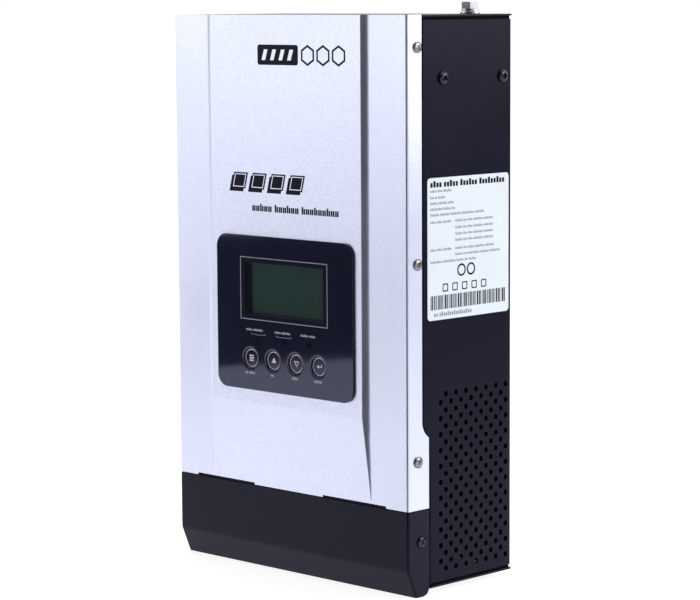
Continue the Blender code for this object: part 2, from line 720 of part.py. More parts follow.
def coils_and_capacitors(coil_look, capacitor_look):
    """Ring-wound inductors and upright capacitors on the main board's front."""
    height = 20 * MM
    profile = []
    for radius, z in ((9, 2), (11, 0), (19, 0), (21, 2), (21, 18), (19, 20), (11, 20), (9, 18)):
        profile.append((radius * MM, z * MM))
    coil = turned_mesh("inductor", profile, 14, closed=True)
    coil.transform(Matrix.Rotation(-pi / 2, 4, "X"))
    seat = MAIN_BOARD_FRONT - GAP
    for word, x in (("left", -58 * MM), ("right", 58 * MM)):
        add_object(f"inductor_{word}", coil, coil_look, (x, seat - height, 262 * MM))
    tall, radius = 27 * MM, 12.5 * MM
    profile = [(0, tall), (radius, tall), (radius, 5 * MM), (radius - 0.8 * MM, 4 * MM),
               (radius, 3 * MM), (radius, 0.8 * MM), (radius - 0.8 * MM, 0), (0, 0)]
    can = turned_mesh("capacitor", profile, 16)
    can.transform(Matrix.Rotation(-pi / 2, 4, "X"))
    for word, x in (("left", -15 * MM), ("right", 15 * MM)):
        add_object(f"capacitor_{word}", can, capacitor_look, (x, seat - tall, 262 * MM))


def terminal_block(block_look, screw_look):
    """Four poles: a conductor enters each from below and a screw from the front clamps it."""
    rear = MAIN_BOARD_FRONT - GAP
    top = BLOCK_FOOT + 24 * MM
    body = ((-45 * MM, 45 * MM), (BLOCK_FRONT, rear), (BLOCK_FOOT, top))
    block = blocks("terminal_block", block_look, [body])
    sockets = []
    for x in POLE_XS:
        reach = 7 * MM
        z = (BLOCK_FOOT - 2 * MM, BLOCK_FOOT + 16 * MM)
        sockets.append(((x - reach, x + reach), (BLOCK_FRONT + 3 * MM, rear - 3 * MM), z))
    centres = [(x, POLE_SCREW_HEIGHT) for x in POLE_XS]
    depth = (BLOCK_FRONT - 1 * MM, BLOCK_FRONT + 4 * MM)
    cut(block, blocks("pole_sockets", None, sockets))
    cut(block, round_cutter("pole_screw_holes", centres, 4.1 * MM, "Y", depth, 16))
    mesh = cross_recess_screw_mesh("pole_screw", 3.8 * MM, 1.8 * MM, 2.4 * MM, 6 * MM)
    mesh.transform(Matrix.Rotation(pi / 2, 4, "X"))
    for i, x in enumerate(POLE_XS, 1):
        place = (x, BLOCK_FRONT + 2.4 * MM, POLE_SCREW_HEIGHT)
        add_object(f"terminal_screw_{i}", mesh, screw_look, place)


def fan(word, x, frame_look, rotor_look):
    """A square frame whose four struts carry a motor seat, and a bladed rotor above it."""
    top = FAN_FOOT + FAN_THICKNESS
    outline = rounded_rectangle(
        (x - FAN_HALF, x + FAN_HALF), (FAN_DEPTH - FAN_HALF, FAN_DEPTH + FAN_HALF), 4 * MM, 3
    )
    frame = prism(f"fan_frame_{word}", frame_look, [outline], "Z", (FAN_FOOT, top), 40)
    centre = (x, FAN_DEPTH)
    span = (FAN_FOOT - 1 * MM, top + 1 * MM)
    cut(frame, round_cutter(f"fan_bore_{word}", [centre], 23.7 * MM, "Z", span, 28))
    strut = 1.2 * MM
    reach = 24.3 * MM
    struts = [
        ((x - reach, x + reach), (FAN_DEPTH - strut, FAN_DEPTH + strut)),
        ((x - strut, x + strut), (FAN_DEPTH - reach, FAN_DEPTH + reach)),
    ]
    low = FAN_FOOT + 0.2 * MM
    for i, (span_x, span_depth) in enumerate(struts, 1):
        beam = blocks(f"strut_{i}_{word}", None, [(span_x, span_depth, (low, low + 1.8 * MM))])
        join(frame, beam)
    seat_span = (FAN_FOOT + 0.1 * MM, FAN_FOOT + 2.6 * MM)
    join(frame, round_cutter(f"motor_seat_{word}", [centre], 11 * MM, "Z", seat_span, 16))

    hub_foot = 3.2 * MM
    hub_top = 13.6 * MM
    hub_radius = 11.5 * MM
    profile = [(0, hub_top), (hub_radius - 1 * MM, hub_top), (hub_radius, hub_top - 1 * MM),
               (hub_radius, hub_foot), (0, hub_foot)]
    hub = turned_mesh(f"fan_rotor_{word}", profile[::-1], 21)
    rotor = add_object(f"fan_rotor_{word}", hub, rotor_look, (x, FAN_DEPTH, FAN_FOOT))
    bm = bmesh.new()
    for i in range(FAN_BLADES):
        blade = []
        for radius, sweep in ((10.8 * MM, 14), (22.9 * MM, 17)):
            for side, z in ((-1, 4.2 * MM), (1, 12.6 * MM)):
                a = radians(side * sweep) + 2 * pi * i / FAN_BLADES
                for lift in (-0.6 * MM, 0.6 * MM):
                    blade.append(bm.verts.new((radius * cos(a), radius * sin(a), z + lift)))
        for face in ((0, 1, 3, 2), (4, 6, 7, 5), (0, 4, 5, 1), (2, 3, 7, 6), (0, 2, 6, 4), (1, 5, 7, 3)):
            bm.faces.new([blade[corner] for corner in face])
    bmesh.ops.recalc_face_normals(bm, faces=bm.faces)
    blades = add_object(f"blades_{word}", finished_mesh(f"blades_{word}", bm), None)
    blades.location = rotor.location
    join(rotor, blades)


def fan_tray(look):
    """Shelf between the wiring space and the heat sink, open under each fan."""
    depth = (SINK_FRONT - 0.5 * MM, DEPTH - 4 * MM)
    half = HALF - 5.5 * MM
    tray = blocks("fan_tray", look, [((-half, half), depth, (TRAY_FOOT, TRAY_FOOT + 1.5 * MM))])
    centres = [(x, FAN_DEPTH) for x in FAN_XS.values()]
    span = (TRAY_FOOT - 1 * MM, TRAY_FOOT + 3 * MM)
    cut(tray, round_cutter("tray_holes", centres, 23 * MM, "Z", span, 24))


def cable_entry(rubber, socket_look):
    """Grooved rubber grommets, and the communication socket, which opens downwards."""
    panel_top = PANEL_FOOT + SHEET
    groove_low, groove_high = PANEL_FOOT - GAP, panel_top + GAP
    profile = [
        (GROMMET_BORE, 0), (12 * MM, 0), (13 * MM, 1 * MM), (13 * MM, groove_low),
        (10.3 * MM, groove_low), (10.3 * MM, groove_high), (12.4 * MM, groove_high),
        (11.6 * MM, 7.6 * MM), (GROMMET_BORE, 7.6 * MM),
    ]
    mesh = turned_mesh("cable_grommet", profile, 16, closed=True)
    for i, x in enumerate(GROMMET_XS, 1):
        add_object(f"cable_grommet_{i}", mesh, rubber, (x, GROMMET_DEPTH, 0))
    body_x = (SOCKET_X - 8 * MM, SOCKET_X + 8 * MM)
    body_depth = (SOCKET_DEPTH - 6.7 * MM, SOCKET_DEPTH + 6.7 * MM)
    socket = blocks(
        "communication_socket", socket_look, [(body_x, body_depth, (PANEL_FOOT, 20 * MM))]
    )
    mouth_x = (SOCKET_X - 5.9 * MM, SOCKET_X + 5.9 * MM)
    mouth_depth = (SOCKET_DEPTH - 4.2 * MM, SOCKET_DEPTH + 4.2 * MM)
    cut(socket, blocks("socket_mouth", None, [(mouth_x, mouth_depth, (1 * MM, 17 * MM))]))


def rating_label(look):
    lift = HALF + 0.1 * MM
    outline = rounded_rectangle((17 * MM, 90 * MM), (165 * MM, 249.5 * MM), 2.5 * MM, 3)
    prism("rating_label", look, [outline], "X", (lift, lift + 0.2 * MM))


def build():
    clear_scene()
    frame = bpy.data.objects.new("front_face_frame", None)
    bpy.context.scene.collection.objects.link(frame)
    frame.location.y = -(DEPTH + OVERLAY_FRONT) / 2

    silver_paint = material("silver_paint", (0.74, 0.74, 0.78), 0.35, 0.3)
    black_paint = material("black_paint", (0.035, 0.033, 0.045), 0.4)
    zinc = material("bright_zinc", (0.72, 0.72, 0.7), 0.3, 1.0)
    black_steel = material("black_oxide", (0.03, 0.03, 0.035), 0.35, 0.8)
    label_white = material("label_white", (0.85, 0.86, 0.9), 0.5)
    overlay_black = material("overlay_black", (0.02, 0.02, 0.035), 0.12)
    clear = material("clear_pane", (0.8, 0.85, 0.85), 0.05)
    screen_green = material("screen_green", (0.02, 0.045, 0.035), 0.3)
    key_black = material("key_black", (0.03, 0.03, 0.045), 0.25)
    grey_plastic = material("grey_plastic", (0.25, 0.26, 0.28), 0.5)
    lamp_clear = material("lamp_clear", (0.5, 0.52, 0.5), 0.2)
    board_green = material("board_green", (0.02, 0.16, 0.07), 0.45)
    ribbon_grey = material("ribbon_grey", (0.45, 0.45, 0.47), 0.5)
    aluminium = material("bare_aluminium", (0.7, 0.71, 0.72), 0.4, 1.0)
    copper = material("copper_winding", (0.6, 0.24, 0.08), 0.35, 1.0)
    sleeve = material("capacitor_sleeve", (0.02, 0.03, 0.09), 0.35)
    block_green = material("terminal_green", (0.04, 0.2, 0.09), 0.5)
    fan_black = material("fan_black", (0.03, 0.03, 0.03), 0.5)
    rubber = material("grommet_rubber", (0.03, 0.03, 0.03), 0.8)

    cover = front_cover(silver_paint)
    lower_cover = terminal_cover(black_paint)
    right = side_panel("side_panel_right", black_paint, 1)
    left = side_panel("side_panel_left", black_paint, -1)
    top = top_panel(black_paint)
    bottom_panel(black_paint)
    back_plate(black_paint)

    through = (-HALF - 5 * MM, HALF + 5 * MM)
    cover_holes = screw_holes([(COVER_SCREW_DEPTH, z) for z in COVER_SCREW_HEIGHTS])
    side_holes = screw_holes([(depth, SIDE_SCREW_HEIGHT) for depth in SIDE_SCREW_DEPTHS])
    lower_holes = screw_holes([(TERMINAL_SCREW_DEPTH, TERMINAL_SCREW_HEIGHT)])
    panel_holes = perforation() + cover_holes + side_holes + lower_holes
    cut(cover, prism("cover_screw_holes", None, cover_holes, "X", through))
    cut(lower_cover, prism("lower_screw_holes", None, lower_holes, "X", through))
    cut(top, prism("side_screw_holes", None, side_holes, "X", through))
    panel_cutter = prism("panel_holes", None, panel_holes, "X", through)
    cut(left, panel_cutter)
    cut(right, panel_cutter)

    screws(zinc, black_steel)
    earthing_bolt(zinc)
    rating_label(label_white)
    display_overlay(overlay_black)
    screen(clear, screen_green)
    keys_and_switches(key_black, grey_plastic)
    indicator_lamps(lamp_clear)
    ribbon_cable(ribbon_grey)
    boards(board_green)
    heat_sink(aluminium)
    coils_and_capacitors(copper, sleeve)
    terminal_block(block_green, zinc)
    for word, x in FAN_XS.items():
        fan(word, x, fan_black, fan_black)
    fan_tray(aluminium)
    cable_entry(rubber, grey_plastic)


build()
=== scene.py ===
"""Looks of the solar charge controller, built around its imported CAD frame.

Metres, +Z up, -Y is the front. Pieces are modelled in the face frame: x, then depth behind
the covers' flat front face, then z. put() moves them into the row frame.
"""

from math import copysign, cos, pi, radians, sin, sqrt, tan

import bmesh
import bpy
from mathutils import Matrix, Vector


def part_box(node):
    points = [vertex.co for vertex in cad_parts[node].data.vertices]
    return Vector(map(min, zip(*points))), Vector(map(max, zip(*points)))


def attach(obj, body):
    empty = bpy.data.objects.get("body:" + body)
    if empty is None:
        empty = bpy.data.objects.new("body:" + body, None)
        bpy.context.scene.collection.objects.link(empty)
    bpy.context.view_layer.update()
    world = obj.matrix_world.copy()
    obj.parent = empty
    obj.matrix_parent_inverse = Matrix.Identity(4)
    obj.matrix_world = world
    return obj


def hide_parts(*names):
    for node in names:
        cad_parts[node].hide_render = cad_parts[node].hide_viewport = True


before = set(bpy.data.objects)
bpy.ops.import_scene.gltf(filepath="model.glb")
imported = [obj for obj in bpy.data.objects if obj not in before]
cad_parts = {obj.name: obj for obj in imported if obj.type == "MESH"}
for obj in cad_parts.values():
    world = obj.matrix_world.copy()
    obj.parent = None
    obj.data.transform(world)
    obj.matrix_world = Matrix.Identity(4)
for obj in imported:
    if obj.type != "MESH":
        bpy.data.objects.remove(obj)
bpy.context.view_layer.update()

MM = 0.001


def mm(*values):
    """Lengths in millimetres, in metres."""
    return tuple(value * MM for value in values)


def about(middle, half):
    """The span that reaches `half` to each side of its middle."""
    return (middle - half, middle + half)


HOUSING = "housing"
SIDES = ("left", "right")
KEYS = ("menu", "up", "down", "enter")
LAMPS = ("power", "charge", "fault")

# Read from the frame
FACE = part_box("terminal_cover")[0].y
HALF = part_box("front_cover")[1].x
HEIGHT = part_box("front_cover")[1].z
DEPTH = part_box("side_panel_right")[1].y - FACE
COVER_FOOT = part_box("front_cover")[0].z
PANEL_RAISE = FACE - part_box("front_cover")[0].y
FLANGE_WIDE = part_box("front_cover")[1].y - FACE
SIDE_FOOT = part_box("side_panel_right")[0].z
SIDE_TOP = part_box("side_panel_right")[1].z

FILM_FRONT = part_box("display_overlay")[0].y - FACE
FILM_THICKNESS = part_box("display_overlay")[1].y - FACE - FILM_FRONT
FILM_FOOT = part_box("display_overlay")[0].z
FILM_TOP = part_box("display_overlay")[1].z

# Sheet metal
SHEET = 1.2 * MM
GAP = 0.3 * MM
FOLD_RADIUS = 1.5 * MM
RIM = 0.2 * MM
FLANGE_NARROW = 12.4 * MM
STEP_FOOT = 95.6 * MM
STEP_TOP = 105.5 * MM
PANEL_HALF_FOOT = 68 * MM
PANEL_BEVEL_RUN = 3 * MM
CREST_RADIUS = 1.35 * MM
FOOT_RADIUS = 7 * MM
BEVEL_END = 70.5 * MM
RAMP_FOOT = 60 * MM
NOTCHES = (mm(-83, -31), mm(29, 82))
NOTCH_HEIGHT = 1.3 * MM
TERMINAL_TOP = COVER_FOOT - 0.6 * MM
TOE_HEIGHT = 16.8 * MM
TOE_DEPTH = 7 * MM
LIP_DROP = 1.5 * MM
COVER_OPENING = (mm(-52, 52), mm(120, 203))
SCREW_HOLE = 2.2 * MM
KEYHOLES = [(x * MM, z * MM) for x in (-60, 60) for z in (50, 296)]

# Side perforation
HOLE_RADIUS = 1.7 * MM
HOLE_COLUMNS = 14
FIRST_COLUMN = 28.7 * MM
COLUMN_PITCH = 4.55 * MM
ROW_PITCH = 9.63 * MM
LONG_COLUMN_FOOT = 14.1 * MM
LONG_COLUMN_HOLES = 12

# Display panel
FILM_HALF = 59 * MM
WINDOW_HALF = 34.3 * MM
WINDOW_FOOT = 160.9 * MM
WINDOW_TOP = 193 * MM
KEY_RADIUS = 5.8 * MM
DIP_REACH = 7.6 * MM
DIP_DEPTH = 0.14 * MM
LAMP_HOLE = 0.9 * MM
INK = 0.05 * MM
LETTER_PITCH = 0.7
FILM_TINT = (0.62, 0.64, 1.0, 1)

# Earthing bolt, across its flats
BOLT_FLATS = 10 * MM

# Inside
CORE_MIDDLE = 15 * MM
WINDING_TURNS = 33
FAN_BLADES = 7
FAN_HOLE_OFFSET = 20.5 * MM
CONTACT_PITCH = 1.02 * MM

# Studio
CAMERA_PLACE = (1.1166, -1.1390, 0.3552)
CAMERA_TURN = (44.18, 6.71, -0.32)
CAMERA_LENS = 132.28


# ---------------------------------------------------------------- mesh tools


def circle(centre, radius, sides, start=0.0):
    turns = [start + 2 * pi * i / sides for i in range(sides)]
    return [(centre[0] + radius * cos(a), centre[1] + radius * sin(a)) for a in turns]


def rectangle(x, z):
    return [(x[0], z[0]), (x[1], z[0]), (x[1], z[1]), (x[0], z[1])]


def rounded(x, z, radius, steps=8):
    """The corners of a rectangle, each replaced by an arc."""
    points = []
    for corner_x, corner_z, start in ((1, 1, 0), (0, 1, 90), (0, 0, 180), (1, 0, 270)):
        centre_x = x[corner_x] + (1 - 2 * corner_x) * radius
        centre_z = z[corner_z] + (1 - 2 * corner_z) * radius
        for i in range(steps + 1):
            a = radians(start + 90 * i / steps)
            points.append((centre_x + radius * cos(a), centre_z + radius * sin(a)))
    return points


def filleted(corners, steps=6, closed=False):
    """Points of a polyline whose (x, y, radius) corners are rounded by arcs."""
    if closed:
        corners = [corners[-1], *corners, corners[0]]
    points = [] if closed else [Vector(corners[0][:2])]
    for before, corner, after in zip(corners, corners[1:], corners[2:]):
        middle, radius = Vector(corner[:2]), corner[2]
        if radius == 0:
            points.append(middle)
            continue
        back = (Vector(before[:2]) - middle).normalized()
        onward = (Vector(after[:2]) - middle).normalized()
        half_turn = back.angle(onward) / 2
        centre = middle + (back + onward).normalized() * (radius / sin(half_turn))
        start = middle + back * (radius / tan(half_turn)) - centre
        sweep = pi - 2 * half_turn
        if back.x * onward.y - back.y * onward.x > 0:
            sweep = -sweep
        for i in range(steps + 1):
            points.append(centre + Matrix.Rotation(sweep * i / steps, 2) @ start)
    if not closed:
        points.append(Vector(corners[-1][:2]))
    return [tuple(p) for p in points]


def smoothed(mesh, under=35):
    mesh.shade_smooth()
    mesh.set_sharp_from_angle(angle=radians(under))
    return mesh


def mesh_from(bm):
    mesh = bpy.data.meshes.new("mesh")
    bm.to_mesh(mesh)
    bm.free()
    return mesh


def mesh_of(bm, under=35):
    """The closed body in bm, with its faces pointing out."""
    bmesh.ops.recalc_face_normals(bm, faces=bm.faces)
    return smoothed(mesh_from(bm), under)


def loop_of(bm, points):
    return [bm.verts.new(point) for point in points]


def lifted(bm, outline, axis, level):
    """A loop over a flat outline, at a level along the axis."""
    slot = "XYZ".index(axis)
    return loop_of(bm, [(*point[:slot], level, *point[slot:]) for point in outline])


def bridge(bm, loops, capped=False):
    """Faces between neighbouring loops, and over both ends if asked."""
    for near, far in zip(loops, loops[1:]):
        for i in range(len(near)):
            j = (i + 1) % len(near)
            bm.faces.new(list(dict.fromkeys((near[i], near[j], far[j], far[i]))))
    if capped:
        bm.faces.new(loops[0][::-1])
        bm.faces.new(loops[-1])


def prism_into(bm, outline, axis, span):
    """Adds an outline, extruded along an axis from span[0] to span[1]."""
    bridge(bm, [lifted(bm, outline, axis, level) for level in span], capped=True)


def prisms(outlines, axis, span, under=35):
    bm = bmesh.new()
    for outline in outlines:
        prism_into(bm, outline, axis, span)
    return mesh_of(bm, under)


def boxes(spans):
    """Blocks given as (x, depth, z) ranges."""
    bm = bmesh.new()
    for x, depth, z in spans:
        prism_into(bm, rectangle(x, depth), "Z", z)
    return mesh_of(bm)


def turned(profile, sides, closed=False, under=35):
    """A profile of (radius, height) points turned about Z."""
    bm = bmesh.new()
    rings = []
    for radius, height in profile:
        if radius == 0:
            rings.append(loop_of(bm, [(0, 0, height)]) * sides)
        else:
            rings.append(lifted(bm, circle((0, 0), radius, sides), "Z", height))
    bridge(bm, rings + rings[:1] if closed else rings)
    return mesh_of(bm, under)


def grid_mesh(rows, closed_foot=False, opening=None):
    """A sheet through rows of points; `closed_foot` also fills the first row.

    Faces inside `opening`, a pair of x and z ranges, are left out.
    """
    bm = bmesh.new()
    grid = [loop_of(bm, row) for row in rows]
    if closed_foot:
        bm.faces.new(grid[0][::-1])
    for low, high in zip(grid, grid[1:]):
        for i in range(len(low) - 1):
            middle = (low[i].co + high[i + 1].co) / 2
            if opening and opening[0][0] < middle.x < opening[0][1]:
                if opening[1][0] < middle.z < opening[1][1]:
                    continue
            bm.faces.new((low[i], low[i + 1], high[i + 1], high[i]))
    bmesh.ops.remove_doubles(bm, verts=bm.verts, dist=1e-6)
    return smoothed(mesh_from(bm))


def linked(name, data):
    made = bpy.data.objects.new(name, data)
    bpy.context.scene.collection.objects.link(made)
    return made


def modified(body, kind, **settings):
    step = body.modifiers.new(kind.lower(), kind)
    for key, value in settings.items():
        setattr(step, key, value)


def applied(body):
    """The mesh that the body's modifiers give; the body itself goes."""
    bpy.context.view_layer.update()
    graph = bpy.context.evaluated_depsgraph_get()
    made = bpy.data.meshes.new_from_object(body.evaluated_get(graph))
    bpy.data.objects.remove(body)
    return made


def worked(mesh, thickness=0.0, cutters=(), joined=(), rim=0.0, under=35):
    """The mesh thickened, joined to and cut by other meshes, with its sharp edges rounded."""
    body = linked("body", mesh)
    if thickness:
        modified(body, "SOLIDIFY", thickness=thickness, offset=-1, use_even_offset=True)
    tools = []
    for operation, meshes in (("UNION", joined), ("DIFFERENCE", cutters)):
        for other in meshes:
            tools.append(linked("tool", other))
            modified(body, "BOOLEAN", operation=operation, solver="MANIFOLD", object=tools[-1])
    if rim:
        modified(body, "BEVEL", width=rim, segments=2, limit_method="ANGLE",
                 angle_limit=radians(42), miter_outer="MITER_ARC")
    made = applied(body)
    for tool in tools:
        bpy.data.objects.remove(tool)
    return smoothed(made, under)


def moved(mesh, *matrices):
    """A copy of the mesh, turned and placed by the matrices from right to left."""
    made = mesh.copy()
    total = Matrix()
    for matrix in matrices:
        total = total @ matrix
    made.transform(total)
    if total.determinant() < 0:
        made.flip_normals()
    return made


def merged(*meshes):
    bm = bmesh.new()
    for mesh in meshes:
        bm.from_mesh(mesh)
    return smoothed(mesh_from(bm))


def put(name, mesh, look, slot, stands_for=(), body=HOUSING):
    """Makes the mesh a named piece in the row frame, in one of the looks, riding on a CAD body."""
    piece = linked(name, mesh)
    mesh.transform(Matrix.Translation((0, FACE, 0)))
    mesh.materials.clear()
    mesh.materials.append(looks[look])
    piece.modifiers.new("level_normals", "WEIGHTED_NORMAL").keep_sharp = True
    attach(piece, body)
    if stands_for:
        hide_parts(*stands_for)
    return piece


def face_box(node):
    """A CAD node's corners in the face frame."""
    low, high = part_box(node)
    shift = Vector((0, FACE, 0))
    return low - shift, high - shift


def face_middle(node):
    low, high = face_box(node)
    return (low + high) / 2


def cad_copy(node, rim=0.0, whole=True):
    """A CAD node's shape in the face frame, with whole faces if asked and rounded edges."""
    bm = bmesh.new()
    bm.from_mesh(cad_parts[node].data)
    bmesh.ops.remove_doubles(bm, verts=bm.verts, dist=1e-5)
    if whole:
        bmesh.ops.dissolve_limit(
            bm, angle_limit=radians(0.5), verts=bm.verts, edges=bm.edges, delimit={"NORMAL"}
        )
    bmesh.ops.translate(bm, vec=(0, -FACE, 0), verts=bm.verts)
    return worked(mesh_from(bm), rim=rim)


def put_copy(node, ending, rim, look, slot):
    """A CAD node's own shape as a piece, with its edges rounded."""
    put(f"{node}_{ending}", cad_copy(node, rim), look, slot, [node])


# ---------------------------------------------------------------- materials


def node(tree, kind, inputs=None, **settings):
    made = tree.nodes.new(f"ShaderNode{kind}")
    for key, value in settings.items():
        setattr(made, key, value)
    for key, value in (inputs or {}).items():
        made.inputs[key].default_value = value
    return made


def noise(tree, scale, detail=2.0, stretch=(1, 1, 1)):
    """Noise in the piece's own coordinates; `scale` is features per metre."""
    place = node(tree, "TexCoord")
    mapping = node(tree, "Mapping", {"Scale": stretch})
    tree.links.new(place.outputs["Object"], mapping.inputs["Vector"])
    texture = node(tree, "TexNoise", {"Scale": scale, "Detail": detail})
    tree.links.new(mapping.outputs["Vector"], texture.inputs["Vector"])
    return texture.outputs["Fac"]


def two_tone(tree, factor, low, high, spread=0.3):
    """Colour that goes from `low` to `high` over the middle of the factor's range."""
    ramp = node(tree, "ValToRGB")
    ramp.color_ramp.elements[0].position = 0.5 - spread / 2
    ramp.color_ramp.elements[1].position = 0.5 + spread / 2
    ramp.color_ramp.elements[0].color = (*low, 1)
    ramp.color_ramp.elements[1].color = (*high, 1)
    tree.links.new(factor, ramp.inputs["Fac"])
    return ramp.outputs["Color"]


def multiplied(tree, first, second):
    mix = node(tree, "Mix", data_type="RGBA", blend_type="MULTIPLY")
    mix.inputs["Factor"].default_value = 1
    tree.links.new(first, mix.inputs[6])
    tree.links.new(second, mix.inputs[7])
    return mix.outputs[2]


def remapped(tree, value, low, high):
    """The middle of a noise's range, stretched to go from `low` to `high`."""
    limits = {"From Min": 0.3, "From Max": 0.7, "To Min": low, "To Max": high}
    mapping = node(tree, "MapRange", limits)
    tree.links.new(value, mapping.inputs["Value"])
    return mapping.outputs["Result"]


def shaded(colour, factor):
    return [channel * factor for channel in colour]


def bumped(tree, height, distance):
    bump = node(tree, "Bump", {"Distance": distance, "Strength": 1.0})
    tree.links.new(height, bump.inputs["Height"])
    return bump.outputs["Normal"]


def dimmed(made, factor):
    """Multiplies the surface's colour by a factor."""
    tree = made.node_tree
    base = tree.nodes["Principled BSDF"].inputs["Base Color"]
    tree.links.new(multiplied(tree, base.links[0].from_socket, factor), base)
    return made


def finish(name, colour, roughness, metallic=0.0, grain=2200, spread=0.12, cloud=25,
           cloud_spread=0.06, texture=0.0, sheen_spread=0.04, stretch=(1, 1, 1), **sockets):
    """A surface with a fine grain, broad unevenness in colour and gloss, and a bump."""
    made = bpy.data.materials.new(name)
    made.use_nodes = True
    tree = made.node_tree
    shader = tree.nodes["Principled BSDF"]
    shader.inputs["Metallic"].default_value = metallic
    for key, value in sockets.items():
        shader.inputs[key.replace("_", " ")].default_value = value
    fine = noise(tree, grain, 2.0, stretch)
    broad = noise(tree, cloud, 3.0)
    grained = two_tone(tree, fine, shaded(colour, 1 - spread), shaded(colour, 1 + spread))
    clouded = two_tone(tree, broad, [1 - cloud_spread] * 3, [1, 1, 1], 0.4)
    tree.links.new(multiplied(tree, grained, clouded), shader.inputs["Base Color"])
    gloss = remapped(tree, broad, roughness - sheen_spread, roughness + sheen_spread)
    tree.links.new(gloss, shader.inputs["Roughness"])
    if texture:
        tree.links.new(bumped(tree, fine, texture), shader.inputs["Normal"])
    return made


def film_look():
    """Gloss film: a faint waviness shows in its reflections."""
    made = finish(
        "gloss_film", (0.0150, 0.0175, 0.0400), 0.05, spread=0.03, sheen_spread=0.012,
        Specular_IOR_Level=0.82, Specular_Tint=FILM_TINT,
    )
    tree = made.node_tree
    waves = bumped(tree, noise(tree, 38, 1.0), 0.03 * MM)
    tree.links.new(waves, tree.nodes["Principled BSDF"].inputs["Normal"])
    return made


def screen_look():
    """Unlit liquid-crystal glass: dark green, with the faint grid of its dots."""
    made = finish(
        "liquid_crystal", (0.027, 0.102, 0.085), 0.28, cloud=9, cloud_spread=0.04, spread=0.04,
        sheen_spread=0.002, Specular_IOR_Level=0.25,
    )
    tree = made.node_tree
    place = node(tree, "TexCoord")
    dots = node(
        tree, "TexBrick",
        {"Scale": 1.0, "Brick Width": 0.5 * MM, "Row Height": 0.55 * MM, "Mortar Size": 0.03 * MM,
         "Color1": (1, 1, 1, 1), "Color2": (1, 1, 1, 1), "Mortar": (0.8, 0.8, 0.8, 1)},
        offset=0.0,
    )
    turn = node(tree, "Mapping", {"Rotation": (-pi / 2, 0, 0)})
    tree.links.new(place.outputs["Object"], turn.inputs["Vector"])
    tree.links.new(turn.outputs["Vector"], dots.inputs["Vector"])
    return dimmed(made, dots.outputs["Color"])


def board_look():
    """Solder mask over tracks: cells edged with slightly lighter copper lines."""
    made = finish("solder_mask", (0.012, 0.10, 0.045), 0.35, spread=0.05)
    tree = made.node_tree
    place = node(tree, "TexCoord")
    tracks = node(
        tree, "TexVoronoi", {"Scale": 160.0, "Randomness": 0.6},
        feature="DISTANCE_TO_EDGE", distance="EUCLIDEAN",
    )
    tree.links.new(place.outputs["Object"], tracks.inputs["Vector"])
    limits = {"From Min": 0.03, "From Max": 0.06, "To Min": 1.0, "To Max": 0.62}
    lines = node(tree, "MapRange", limits)
    tree.links.new(tracks.outputs["Distance"], lines.inputs["Value"])
    return dimmed(made, lines.outputs["Result"])


